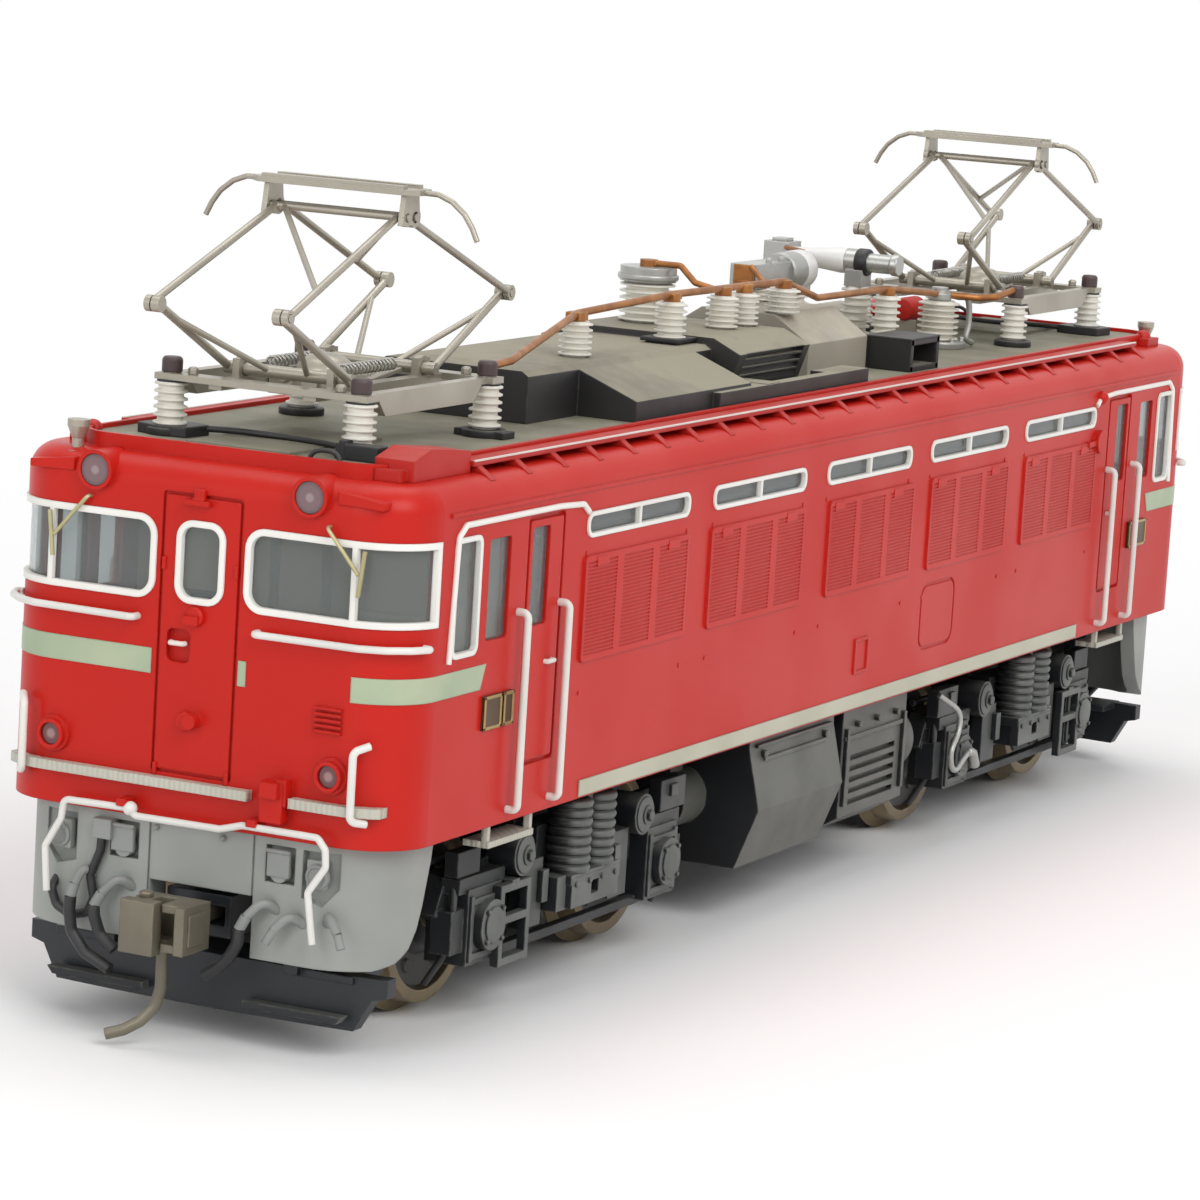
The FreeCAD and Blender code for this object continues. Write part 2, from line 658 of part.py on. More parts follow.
footboards = []
board_ring = plan_wall(0.85, 0.2, 19.25, 20.0)
for end in sides:
    for low, high in ((-5.35, 16.0), (-16.0, -8.9)):
        y0, y1 = sorted((-end * low, -end * high))
        span = Part.makeBox(9, y1 - y0, 3, Vector(end * 80.8 - 4.5, y0, 18.5))
        footboards.append(free(board_ring.common(span)))
steps = []
for side in sides:
    for end in sides:
        x, y = end * 64.45, side * 16.2
        steps.append(block((7.4, 2.2, 0.5), (x, y, 14.9)))
        for offset in (-3.45, 3.45):
            steps.append(block((0.5, 0.5, 1.6), (x + offset, side * 16.9, 15.2)))
node(carve(footboards + steps, envelope), "cab_steps")

plates = []
for side in sides:
    for end in sides:
        for x, wide in ((69.6, 2.8), (67.05, 1.6)):
            y = side * (half_width + 0.1)
            plates.append(block((wide, 0.3, 2.6), (end * x, y, 24.4)))
node(carve(plates, envelope), "blank_plates")

band = plan_wall(0.12, 0.15, 16.85, 18.15).common(
    Part.makeBox(107.6, 60, 10, Vector(-53.8, -30, 12))
)
node(carve(free(band, "band"), envelope), "side_band")

# Lamp lenses and windscreen wipers.
lenses = []
for end in sides:
    face = end * half_length
    for y in (-9.2, 9.2):
        lenses.append(drum(1.19, 0.9, (min(face - 0.4 * end, face + 0.5 * end), y, 42.3), "x"))
    for y in (-12.0, 12.0):
        lenses.append(drum(0.82, 0.9, (min(face - 0.35 * end, face + 0.55 * end), y, 22.0), "x"))
node(fuse(lenses), "lamp_lenses")

blades = []
for end in sides:
    x = end * (half_length + 0.55)
    for side in sides:
        pivot = side * (10.25 + 0.55 * end * side)
        blades += bent(((end * (half_length - 0.2), pivot, 40.3), (x, pivot, 40.3),
                        (x, pivot + side * 2.8, 37.1)), 0.15)
        blades.append(rod((x, pivot + side * 3.25, 38.9), (x, pivot + side * 2.85, 35.5), 0.17))
node(carve(blades, envelope), "wipers")

# Underframe with the swivel holes, the motor well and the shaft slot.
swivel = size["bogie_offset"]
floor_low, floor_thick = 18.3, 1.5
floor = [block((158, 31.4, floor_thick), (0, 0, floor_low))]
for side in sides:
    floor.append(block((112, 3.4, 9.0), (0, side * 13.4, 19.5)))
    floor.append(block((4.2, 20, 3.0), (side * 80.3, 0, floor_low)))
    for x in (-30, 30):
        floor.append(block((6, 1.4, floor_thick), (x, side * 15.75, floor_low)))
wells = [block((2 * swivel, 8.4, 4), (0, 0, 17)), block((52, 17.4, 4), (0, 0, 17))]
for end in sides:
    wells.append(drum(6.7, 4, (end * swivel, 0, 17)))
    wells.append(block((10, 31.4, 9.1), (end * swivel, 0, floor_low + floor_thick)))
weights = []
for side in sides:
    for end in sides:
        weights.append(block((24, 6.2, 7.6), (end * 29, side * 12.0, 28.4)))
        weights.append(block((3, 3.0, 0.6), (end * 29, side * 13.4, 28.0)))
node(fuse([carve(floor, wells)] + weights), "chassis_frame")
board = [block((96, 26, 1.0), (0, 0, 36.0))]
board += [block((6, 3.4, 1.6), (x, y, 36.9)) for x, y in ((-20, 4), (-6, -5), (12, 5), (30, -4))]
node(fuse(board), "circuit_board")

motor_low = "dims.drive_height - 5.3"
can = block(("dims.motor_length", "dims.motor_width", 10.6), (0, 0, motor_low))
ends = [drum(2.2, 1.2, (x, 0, "dims.drive_height"), "x") for x in (-14.2, 13.0)]
cavities = [
    drum(4.7, 22, (-11, 0, "dims.drive_height"), "x"),
    drum("1 + dims.running_fit", 32, (-16, 0, "dims.drive_height"), "x"),
]
feet = [block((4, 2.6, 0.8), (x, y, 19.8)) for x in (-9, 9) for y in (-9.2, 9.2)]
node(carve([can] + ends + feet, cavities), "motor_case")

rotor = [drum(1.0, 52, (-26, 0, "dims.drive_height"), "x")]
rotor.append(drum(4.2, 16, (-8, 0, "dims.drive_height"), "x"))
for x in (-23.6, 15.6):
    rotor.append(drum("dims.flywheel_radius", 8.0, (x, 0, "dims.drive_height"), "x"))
sockets = [drum(2.5, 4.4, (x, 0, "dims.drive_height"), "x") for x in (-30, 25.6)]
bores = [drum(1.9, 3.2, (x, 0, "dims.drive_height"), "x") for x in (-30.2, 27.0)]
node(carve(rotor + sockets, bores), "motor_rotor")

dogbone = fuse(
    [drum(0.7, 12.7, (-41.1, 0, "dims.drive_height"), "x")]
    + [ball(1.1, (x, 0, "dims.drive_height")) for x in (-41.1, -28.4)]
)
node(dogbone, "front_cardan_shaft")
node(turned(dogbone), "rear_cardan_shaft")


def toothed(teeth, pitch_radius, addendum, dedendum, thickness, start=0.0):
    """A gear outline with straight-sided teeth, as a closed face in the YZ plane."""
    points = []
    step = 2 * math.pi / teeth
    for k in range(teeth):
        centre = start + k * step
        for radius, share in (
            (pitch_radius - dedendum, -0.72), (pitch_radius, -0.5), (pitch_radius + addendum, -0.3),
            (pitch_radius + addendum, 0.3), (pitch_radius, 0.5), (pitch_radius - dedendum, 0.72),
        ):
            angle = centre + share * thickness / pitch_radius
            points.append(Vector(0, radius * math.cos(angle), radius * math.sin(angle)))
    return Part.Face(Part.makePolygon(points + points[:1]))


module = 0.5
spur_teeth, wheel_teeth = 12, 18
spur_radius, wheel_radius = module * spur_teeth / 2, module * wheel_teeth / 2
worm_radius = 2.25


def spur(height, start, at=0.0):
    shape = toothed(spur_teeth, spur_radius, 0.4, 0.55, 0.6, start).extrude(Vector(2.2, 0, 0))
    shape.translate(Vector(at - 1.1, 0, height))
    return shape


def worm(at, height, phase):
    """A single start worm along x."""
    lead = module * math.pi
    length = 5.6
    core = Part.makeCylinder(worm_radius - 0.5, length, Vector(0, 0, 0), Vector(0, 0, 1))
    helix = Part.makeHelix(lead, length - lead, worm_radius)
    base, tip = worm_radius - 0.62, worm_radius + 0.32
    half_root, half_tip = 0.41, 0.17
    section = [
        Vector(base, 0, -half_root), Vector(tip, 0, -half_tip),
        Vector(tip, 0, half_tip), Vector(base, 0, half_root),
    ]
    profile = Part.makePolygon(section + section[:1])
    thread = Part.Wire(helix.Edges).makePipeShell([profile], True, True)
    thread.translate(Vector(0, 0, lead / 2))
    shape = core.fuse(thread)
    shape.rotate(Vector(0, 0, 0), Vector(0, 0, 1), phase)
    shape.translate(Vector(0, 0, -length / 2))
    shape.rotate(Vector(0, 0, 0), Vector(0, 1, 0), 90)
    shape.translate(Vector(at, 0, height))
    return shape


# Front bogie, built about its own swivel centre; the rear one is the same piece turned round.
xb = -swivel
axle = size["axle_offset"]
drive = size["drive_height"]
worm_z = size["worm_height"]
frame = [block((1.2, 10, 11.6), (xb + x, 0, 5.4)) for x in (-21.9, -9.9, 9.9, 21.9)]
for side in sides:
    frame.append(block((45, 1.4, 11.6), (xb, side * 5.3, 5.4)))
frame.append(block((45, 12, 1.0), (xb, 0, 17.0)))
frame.append(drum(6.6, 1.95, (xb, 0, 18.0)))
frame.append(drum(7.5, 0.6, (xb, 0, 19.9)))
frame.append(block((8.3, 8.5, 6.9), (xb - 0.25, 0, 18.0)))
hollows = [
    block((5.5, 7.5, 13.8), (xb - 0.25, 0, 10.5)),
    block((6.0, 6.6, 4.0), (xb + 6.9, 0, 16.9)),
    drum("dims.shaft_radius + dims.running_fit", 12, (xb - 6, 0, "dims.drive_height"), "x"),
    drum("dims.shaft_radius + dims.running_fit", 45, (xb - 22.5, 0, "dims.worm_height"), "x"),
]
for x in (-axle, axle):
    hollows.append(block((6.4, 5.6, 1.0), (xb + x, 0, 16.5)))
    hollows.append(drum("dims.axle_radius + dims.running_fit", 14, (xb + x, -7, "dims.axle_height"), "y"))
bogie_frame = carve(frame, hollows)

keeper = [block((44, 12, 1.0), (xb, 0, 4.4))]
troughs = []
for x in (-axle, axle):
    keeper.append(block((12.2, 5.2, 2.6), (xb + x, 0, 1.9)))
    troughs.append(block((10.8, 3.6, 3.4), (xb + x, 0, 2.6)))
for x in (-6, 6):
    keeper.append(drum(0.9, 0.5, (xb + x, 0, 3.95)))
keeper_plate = carve(keeper, troughs)


def coil(at, height, radius, turns):
    """A close-wound spring seen as stacked turns."""
    x, y, z = at
    pitch = height / turns
    profile = [Vector(0, 0, 0)]
    for k in range(turns):
        low = k * pitch
        for share, depth in ((0, 0.8), (0.18, 0.95), (0.5, 1.0), (0.82, 0.95), (1.0, 0.8)):
            if share or not k:
                profile.append(Vector(radius * depth, 0, low + share * pitch))
    profile.append(Vector(0, 0, height))
    shape = Part.Face(Part.makePolygon(profile + profile[:1])).revolve(
        Vector(0, 0, 0), Vector(0, 0, 1), 360
    )
    shape.translate(Vector(x, y, z))
    return shape


beam = (
    (-20.5, 9.0), (-19.0, 11.8), (-12.0, 12.4), (-8.0, 10.6), (8.0, 10.6), (12.0, 12.4),
    (19.0, 11.8), (20.5, 9.0), (18.8, 8.2), (12.4, 8.2), (8.5, 6.6), (-8.5, 6.6), (-12.4, 8.2),
    (-18.8, 8.2),
)
side_parts = []
square_holes = []
for side in sides:
    points = [(xb + x, z) for x, z in beam]
    side_parts.append(free(prism(points, "y", side * 11.2, side * 13.0)))
    side_parts.append(block((9.0, 5.2, 3.6), (xb, side * 8.6, 10.6)))
    side_parts.append(block((9.0, 2.2, 3.6), (xb, side * 12.2, 10.0)))
    for x in (-axle, axle):
        side_parts.append(block((5.4, 3.6, 6.0), (xb + x, side * 12.9, 4.9)))
        side_parts.append(drum(2.0, 1.0, (xb + x, min(side * 14.6, side * 15.6), 7.9), "y"))
        side_parts.append(block((7.4, 1.6, 1.2), (xb + x, side * 13.6, 10.6)))
    for x in (-10.6, 10.6):
        side_parts.append(drum(1.7, 2.6, (xb + x, min(side * 12.8, side * 15.4), 12.6), "y"))
        side_parts.append(drum(0.8, 0.5, (xb + x, min(side * 15.3, side * 15.8), 12.6), "y"))
    for x in (-7.6, 7.6):
        side_parts.append(block((3.2, 1.2, 5.4), (xb + x, side * 14.1, 6.2)))
    side_parts.append(block((8.4, 3.6, 0.8), (xb, side * 14.6, 9.2)))
    side_parts.append(block((8.2, 0.9, 2.4), (xb, side * 16.0, 7.3)))
    side_parts.append(block((1.4, 3.0, 2.2), (xb - 3.2, side * 14.4, 7.2)))
    side_parts.append(block((1.4, 3.0, 2.2), (xb + 3.2, side * 14.4, 7.2)))
    square_holes.append(block((1.3, 4.0, 1.1), (xb, side * 16.0, 8.0)))
    for x in (-2.1, 2.1):
        side_parts.append(free(coil((xb + x, side * 14.9, 9.9), 6.0, 1.85, 8)))
    # Low pull rod between the axle boxes and the guard frame at the outer axle.
    side_parts.append(block((2 * axle, 0.8, 0.7), (xb, side * 13.4, 4.5)))
    for x in (-14.2, -9.8):
        side_parts.append(block((0.6, 0.7, 6.4), (xb + x, side * 15.2, 4.3)))
    for z in (4.3, 7.6, 10.1):
        side_parts.append(block((5.0, 0.7, 0.6), (xb - 12.0, side * 15.2, z)))
    side_parts.append(block((1.2, 3.0, 0.8), (xb - 12.0, side * 14.0, 10.1)))
    side_parts.append(block((2.0, 1.8, 3.4), (xb - 19.2, side * 13.4, 6.0)))
    side_parts.append(block((1.6, 1.8, 3.4), (xb + 19.2, side * 13.4, 6.0)))
    # Brake shoes hang inboard of each wheel.
    for x in (-6.6, 6.6):
        side_parts.append(block((1.0, 3.2, 0.9), (xb + x, side * 9.9, 8.0)))
bogie_sides = carve(side_parts, square_holes)


def axle_set(x):
    gear = toothed(wheel_teeth, wheel_radius, 0.35, 0.6, 0.6, math.pi / 2)
    gear = gear.extrude(Vector(2.0, 0, 0))
    gear.rotate(Vector(0, 0, 0), Vector(0, 0, 1), 90)
    gear.translate(Vector(x, -1.0, size["axle_height"]))
    return fuse([
        free(gear),
        drum("dims.axle_radius", 19.6, (x, -9.8, "dims.axle_height"), "y"),
        drum(2.0, 6.0, (x, -3.0, "dims.axle_height"), "y"),
    ])


def wheel_pair(x):
    """Two flanged wheels turned about their axle."""
    back, wide = size["wheel_back"], size["wheel_width"]
    tread, flange, bore = size["tread_radius"], size["flange_radius"], size["axle_radius"]
    section = (
        (bore, 0), (tread + 0.3, 0), (flange, 0.3), (flange, 0.5), (tread + 0.08, 0.95),
        (tread - 0.1, wide), (tread - 1.0, wide), (tread - 1.3, wide - 0.7), (3.2, wide - 0.9),
        (2.5, wide - 0.3), (bore, wide - 0.3),
    )
    pair = []
    for side in sides:
        loop = [Vector(radius, side * (back + y), 0) for radius, y in section]
        disc = Part.Face(Part.makePolygon(loop + loop[:1])).revolve(
            Vector(0, 0, 0), Vector(0, 1, 0), 360
        )
        disc.translate(Vector(x, 0, size["axle_height"]))
        pair.append(free(disc))
    return fuse(pair)


def wheelset(x):
    return fuse([axle_set(x), wheel_pair(x)])


input_shaft = carve(
    [
        drum("dims.shaft_radius", 9.3, (xb - 4.3, 0, "dims.drive_height"), "x"),
        drum(2.5, 3.8, (xb + 4.4, 0, "dims.drive_height"), "x"),
        free(spur(drive, math.pi / 12, xb)),
    ],
    [drum(1.9, 3.2, (xb + 5.1, 0, "dims.drive_height"), "x")],
)
worm_shaft = fuse([
    drum("dims.shaft_radius", 44, (xb - 22, 0, "dims.worm_height"), "x"),
    free(spur(worm_z, 0.0, xb)),
    free(worm(xb - axle, worm_z, 90.0)),
    free(worm(xb + axle, worm_z, 90.0)),
])
bogie_nodes = (
    (bogie_frame, "bogie_frame"), (bogie_sides, "bogie_sides"), (keeper_plate, "keeper_plate"),
    (input_shaft, "input_shaft"), (worm_shaft, "worm_shaft"),
    (wheelset(xb - axle), "outer_wheelset"), (wheelset(xb + axle), "inner_wheelset"),
)
for item, name in bogie_nodes:
    node(item, f"front_{name}")
    node(turned(item), f"rear_{name}")

# Boxes and reservoirs between the bogies.
transformer = ((-16.0, floor_low), (-16.0, 15.4), (-17.2, 10.3), (-15.2, 5.0), (15.2, 5.0),
               (17.2, 10.3), (16.0, 15.4), (16.0, floor_low))
cooler = ((-16.0, floor_low), (-16.0, 6.5), (-13.2, 4.8), (13.2, 4.8), (16.0, 6.5), (16.0, floor_low))
tanks = [
    free(prism(transformer, "x", -18.2, -0.6)), free(prism(cooler, "x", 1.6, 15.8)),
    block((5, 26, 9), (0.5, 0, 6.4)), block((3.6, 25, 4.4), (17.2, 0, 13.9)),
    block((4.6, 16, 4.4), (-20.2, 0, 13.9)),
]
for side in sides:
    tanks.append(drum(3.1, 6.2, (15.6, side * 11.4, 10.6), "x"))
    tanks.append(block((1.0, 2.2, 3.4), (18.4, side * 11.4, 13.0)))
    tanks.append(drum(2.6, 4.6, (-22.6, side * 9.6, 10.8), "x"))
    tanks.append(block((2.4, 2.0, 2.0), (-21.0, side * 9.6, 12.8)))
cutaways = [block((47, 17.4, 6), (0, 0, 14.9))]
for side in sides:  # bolts, lips and louvres on the outer faces
    for x in (-13.2, -5.4):
        tanks.append(drum(0.5, 16.0, (x, min(0, side * 16.0), 12.6), "y"))
    tanks.append(block((13.0, 0.5, 0.35), (-9.4, side * 16.25, 14.2)))
    for k in range(5):
        cutaways.append(block((10.0, 1.2, 0.5), (8.7, side * 16.0, 7.4 + 1.0 * k)))
for side in sides:
    tanks.append(block((13.8, 0.5, 0.4), (8.7, side * 16.0, 13.4)))
node(carve(tanks, cutaways), "underfloor_equipment")

# Air cocks and hoses, end pilots, ploughs, lever rods and coupler pockets.
cocks = []
hoses = []
front_x = -83.2
brackets = (  # (y of the fixing, y of the nozzle, top, hose route or none)
    (-7.9, -5.5, 12.0, ((-5.5, 8.7), (-4.9, 7.6), (-3.9, 6.6), (-2.6, 5.7))),
    (-10.2, -7.8, 11.3, ()),
    (-11.9, -14.2, 11.8, ()),
    (4.6, 7.1, 11.9, ((7.0, 8.9), (6.5, 7.5), (5.2, 6.5))),
    (8.2, 9.2, 12.3, ((9.2, 9.0), (9.0, 7.4), (7.8, 5.9), (5.6, 4.9))),
)
for fixing, nozzle, top, path in brackets:
    middle = (2 * fixing + nozzle) / 3
    drop = (nozzle - middle) * 0.3
    arch = (
        (front_x + 0.5, fixing, top - 1.0), (front_x - 0.9, middle, top),
        (front_x - 1.3, nozzle - drop, top - 1.3),
    )
    cocks += bent(arch, 0.36)
    tip = Vector(front_x - 1.5, nozzle, top - 2.3)
    fall = (tip - Vector(*arch[-1])).normalize()
    cocks.append(rod(arch[-1], tip, 0.42 if path else 0.34))
    if path:
        cocks.append(rod(tip, tip + fall * 0.5, 0.22))  # spigot inside the hose
        points = [(front_x - 1.6 + 0.1 * k, y, z) for k, (y, z) in enumerate(path)]
        hoses += bent([tip] + points, 0.46)
# Looped jumper cable from its own plug.
jumper = (
    (7.3, 15.3), (7.4, 13.6), (8.2, 11.6), (7.8, 9.9), (8.3, 8.7), (9.8, 8.3), (11.1, 8.9), (11.6, 10.2),
)
cable_x = front_x - 0.45
cocks.append(block((1.6, 1.6, 1.5), (front_x, 7.2, 14.6)))
hoses += bent([(cable_x, y, z) for y, z in jumper] + [(front_x + 0.6, 11.6, 11.0)], 0.34)
cock_set = fuse(cocks)
hose_set = fuse(hoses)
cock_pair = fuse([cock_set, turned(cock_set)])
pilot_long, pilot_wide, pilot_round, pilot_thick = -2 * front_x, 32.0, 5.6, 1.5
pilot_wall = rounded_box(pilot_long, pilot_wide, pilot_round, 7.3, 16.7).cut(rounded_box(
    pilot_long - 2 * pilot_thick, pilot_wide - 2 * pilot_thick, pilot_round - pilot_thick, 7.3, 16.7))
# Outline of a cheek from the side, its lower rear corner rounded.
cheek = ((-84, 7.3), (-81, 7.3), (-79.2, 7.7), (-77.6, 8.6), (-76.5, 9.9), (-75.8, 11.6), (-74.8, 15.0),
         (-74.5, 16.7), (-84, 16.7))
pilot_items = [free(pilot_wall.common(prism(cheek, "y", -20, 20)))]
for side in sides:
    pilot_items.append(block((6.5, 3.0, 1.6), (-79.2, side * 7.2, 15.1)))
    pilot_items.append(block((3.0, 3.0, 3.2), (-77.4, side * 7.2, 15.1)))
    pilot_items.append(block((1.2, 1.4, 3.2), (-81.4, -2.9 * side, 8.4)))
pilot_cuts = [block((6, 8.9, 4.8), (front_x - 0.3, -1.2, 7.2))]
socket_box = ((12.7, 16.1), (9.8, 16.1), (9.8, 12.5), (11.5, 12.0), (12.7, 13.4))
socket_ys = (-7.9, 5.6)  # covered sockets under the two seams
for side, socket_y in zip(sides, socket_ys):
    pilot_cuts.append(block((1.6, 2.5, 2.8), (front_x, socket_y, 13.3)))
    corner = [Vector(front_x - 0.8, side * y, z) for y, z in socket_box]
    pilot_cuts.append(free(Part.Face(Part.makePolygon(corner + corner[:1])).extrude(Vector(1.6, 0, 0))))
for y in (-5.6, 3.4, -13.15):
    pilot_cuts.append(block((0.4, 0.16, 9.4), (front_x - 0.05, y, 7.2)))
pilot_body = carve(pilot_items, pilot_cuts)
plugs = []
for side, socket_y in zip(sides, socket_ys):
    plugs.append(block((0.5, 1.7, 1.3), (front_x - 0.1, socket_y, 14.4)))
    plugs.append(drum(0.75, 0.8, (front_x - 0.2, socket_y, 14.1), "x"))
    plugs.append(block((0.7, 1.5, 2.2), (front_x + 0.2, side * 11.0, 13.3)))
pilot_whole = fuse([pilot_body] + plugs)
pilot_pair = fuse([pilot_whole, turned(pilot_whole)])
node(carve(pilot_pair, cock_pair), "end_pilots")

plough_tip, plough_low, plough_top = 15.6, 2.3, 6.5
bow = 0.9  # how far the middle stands ahead of the tips
front_edge = [(-80.7 + bow * (k / 6) ** 2, plough_tip * k / 6) for k in range(-6, 7)]
plan = [Vector(x, y, plough_low) for x, y in front_edge]
plan += [Vector(x + 1.3, y, plough_low) for x, y in reversed(front_edge)]
slice_up = Vector(0, 0, plough_top - plough_low)
blade_bar = Part.Face(Part.makePolygon(plan + plan[:1])).extrude(slice_up)
facing = ((-13.0, 0), (13.0, 0), (14.4, 4), (17, 5), (17, 9), (-17, 9), (-17, 5), (-14.4, 4))
outline_face = [Vector(-90, y, plough_low - 0.01 + z * 0.62) for y, z in facing]
silhouette = Part.Face(Part.makePolygon(outline_face + outline_face[:1])).extrude(Vector(20, 0, 0))
blade = free(blade_bar.common(silhouette), "blade")
plough_items = [blade, block((4.6, 26.0, 0.6), (-78.2, 0, 5.9))]
for side in sides:
    plough_items.append(block((3.0, 1.2, 9.1), (-79.6, side * 8.0, 6.0)))
    plough_items.append(block((1.4, 9.0, 0.6), (-79.0, side * 5.6, 3.6)))
plough = fuse(plough_items)
node(fuse([plough, turned(plough)]), "snow_ploughs")

lever_x = -84.6
lever = bent(
    ((lever_x, 11.4, 10.1), (lever_x, 11.7, 13.5), (lever_x, 10.4, 15.8), (lever_x, 10.2, 17.3),
     (lever_x, 4.6, 17.4), (lever_x, 3.9, 16.9), (lever_x, -3.4, 16.95), (lever_x, -5.3, 17.5),
     (lever_x, -11.7, 17.5), (lever_x, -12.4, 16.7), (lever_x, -12.5, 15.4), (lever_x, -11.1, 13.3),
     (lever_x, -11.7, 9.5)),
    0.27,
)
lever.append(ball(0.55, (lever_x, 4.4, 17.4)))
lever_pair = fuse(lever)
node(carve([lever_pair, turned(lever_pair)], [envelope, trimmed]), "uncoupling_levers")

node(cock_pair, "air_cocks")
node(carve([hose_set, turned(hose_set)], [cock_pair, pilot_pair]), "air_hoses")

height = size["coupler_height"]
pivot = -size["coupler_pivot"]
pocket_items = [
    block((7.6, 5.6, 3.2), (pivot - 0.5, 0, height - 1.6)),
    block((3.4, 5.0, floor_low - height - 1.4), (pivot + 1.0, 0, height + 1.4)),
]
pocket_cut = [block((7.0, 4.6, 1.5), (pivot - 1.8, 0, height - 0.75))]
pin = drum(0.55, 3.2, (pivot, 0, height - 1.6))
pocket_box = fuse([carve(pocket_items, pocket_cut), pin])
node(fuse([pocket_box, turned(pocket_box)]), "coupler_pockets")

knuckle_pin = (-86.4, size["knuckle_offset"])
shank = [
    drum(1.5, 1.2, (pivot, 0, height - 0.6)),
    block((7.2, 1.8, 1.2), (pivot - 4.2, 0, height - 0.6)),
    block((0.9, 5.0, 3.6), (-84.95, -0.4, height - 1.8)),
    block((3.0, 0.8, 3.6), (-86.8, -2.5, height - 1.8)),
    block((2.6, 2.2, 0.6), (-86.5, -1.8, height + 1.2)),
    block((2.6, 2.2, 0.6), (-86.5, -1.8, height - 1.8)),
    block((1.5, 2.0, 0.6), (-86.0, -0.2, height - 1.8)),
    drum(0.3, 3.6, (knuckle_pin[0], knuckle_pin[1], height - 1.8)),
]
for z in (height + 1.2, height - 1.8):
    shank.append(drum(0.8, 0.6, (knuckle_pin[0], knuckle_pin[1], z)))
    shank.append(block((1.6, 1.6, 0.6), (-85.6, knuckle_pin[1], z)))
coupler = carve(shank, [drum(0.6, 2.0, (pivot, 0, height - 1.0))])
jaw = carve(
    [
        drum(0.8, 2.1, (knuckle_pin[0], knuckle_pin[1], height - 1.05)),
        block((1.6, 1.5, 2.1), (-87.2, knuckle_pin[1], height - 1.05)),
        block((1.2, 2.9, 4.0), (-size["coupler_face"] + 0.6, knuckle_pin[1] - 0.55, height - 2.1)),
    ],
    [drum(0.34, 4.4, (knuckle_pin[0], knuckle_pin[1], height - 2.2))],
)
trip = bent(
    ((-86.1, 0.1, height - 1.5), (-86.1, 0.1, 4.6), (-86.3, 0.4, 3.2), (-86.9, 1.2, 2.1),
     (-87.5, 2.3, 1.35), (-88.1, 3.5, 0.95)), 0.45,
)
for item, name in ((fuse([coupler] + trip), "coupler"), (jaw, "knuckle")):
    node(item, f"front_{name}")
    node(turned(item), f"rear_{name}")

# Pantographs: base frame on four posts, two lower frames, two upper frames and the head.
xp = -size["pantograph_offset"]
span, gauge = size["insulator_span"], size["insulator_gauge"]
spread, lower, upper = size["pivot_spread"], size["lower_arm"], size["upper_arm"]
pivot_z, arm_y = size["pivot_height"], size["arm_gauge"]
rest = math.radians(size["rest_angle"])
knee_x = spread + lower * math.cos(rest)
knee_z = pivot_z + lower * math.sin(rest)
upper_rest = math.acos((knee_x - size["head_spread"]) / upper)
top_x = size["head_spread"]
top_z = knee_z + upper * math.sin(upper_rest)
tube = 0.3

post_items = []
foot_items = []
for along in sides:
    for side in sides:
        x, y = xp + along * span, side * gauge
        post_items.append(free(insulator((x, y, base + 0.6), 3.6, 1.3, 6)))
        foot_items.append(drum(1.75, 0.6, (x, y, base)))
posts_front = fuse(post_items)
feet_front = fuse(foot_items)
node(fuse(stacks + [posts_front, turned(posts_front)]), "roof_insulators")
node(fuse(deck_parts + [feet_front, turned(feet_front)]), "roof_deck")

base_items = []
for along in sides:
    base_items.append(block((1.8, 2 * gauge + 2.0, 0.5), (xp + along * span, 0, 48.6)))
    for side in sides:
        base_items.append(drum(0.7, 0.9, (xp + along * span, side * gauge, 49.0)))
        x = xp + along * spread
        lug = carve(
            [block((1.9, 0.6, 1.9), (x, side * 4.1, 48.5)),
             drum(0.95, 0.6, (x, side * 4.1 - 0.3, pivot_z), "y")],
            [drum(0.55, 1.4, (x, side * 4.1 - 0.7, pivot_z), "y")],
        )
        base_items.append(lug)
channel = [(-7.0, 47.3), (7.0, 47.3), (8.2, 48.6), (9.6, 48.6)]
channel += [(9.6, 49.1), (-9.6, 49.1), (-9.6, 48.6), (-8.2, 48.6)]
channel = [(xp + x, z) for x, z in channel]
for side in sides:
    base_items.append(block((21.0, 1.1, 0.8), (xp, side * 4.1, 48.2)))
    base_items.append(free(prism(channel, "y", side * gauge - 0.5, side * gauge + 0.5)))
base_items.append(block((2.2, 9.0, 0.6), (xp - 2.0, 0, 48.3)))
base_items.append(drum(0.7, 7.0, (xp - 3.5, 0, 48.6), "x"))
base_items.append(block((3.4, 2.0, 1.5), (xp - 2.0, 2.4, 47.6)))
for y in (-1.9, 1.9):
    base_items.append(free(coil((0, 0, 0), 8.6, 0.42, 14)))
    base_items[-1].Placement = Placement(Vector(xp - 4.3, y, 48.95), Rotation(Vector(0, 1, 0), 90))
base_frame = fuse(base_items)
node(fuse([base_frame, turned(base_frame)]), "pantograph_bases")


def about_centre(source):
    """The same frame turned half a turn about the pantograph's own upright axis."""
    half = mirror(source, (1, 0, 0), (xp, 0, 0))
    return mirror(half, (0, 1, 0), (xp, 0, 0))


def lower_frame():
    x0, x1 = xp + spread, xp + knee_x
    items = [rod((x0, -5.5, pivot_z), (x0, 5.5, pivot_z), 0.5)]
    for side in sides:
        items.append(rod((x0, side * arm_y, pivot_z), (x1, side * arm_y, knee_z), tube + 0.03))
        foot = side * 1.6
        join = Vector(x1 - 3 * math.cos(rest), side * (arm_y - 0.15), knee_z - 3 * math.sin(rest))
        items.append(rod((x0, foot, pivot_z), join, 0.24))
        items.append(rod((x1, side * 4.85, knee_z), (x1, side * 6.15, knee_z), 0.3))
        items.append(rod((x1, side * 4.85, knee_z), (x1, side * 5.5, knee_z), 0.62))
    return fuse(items)


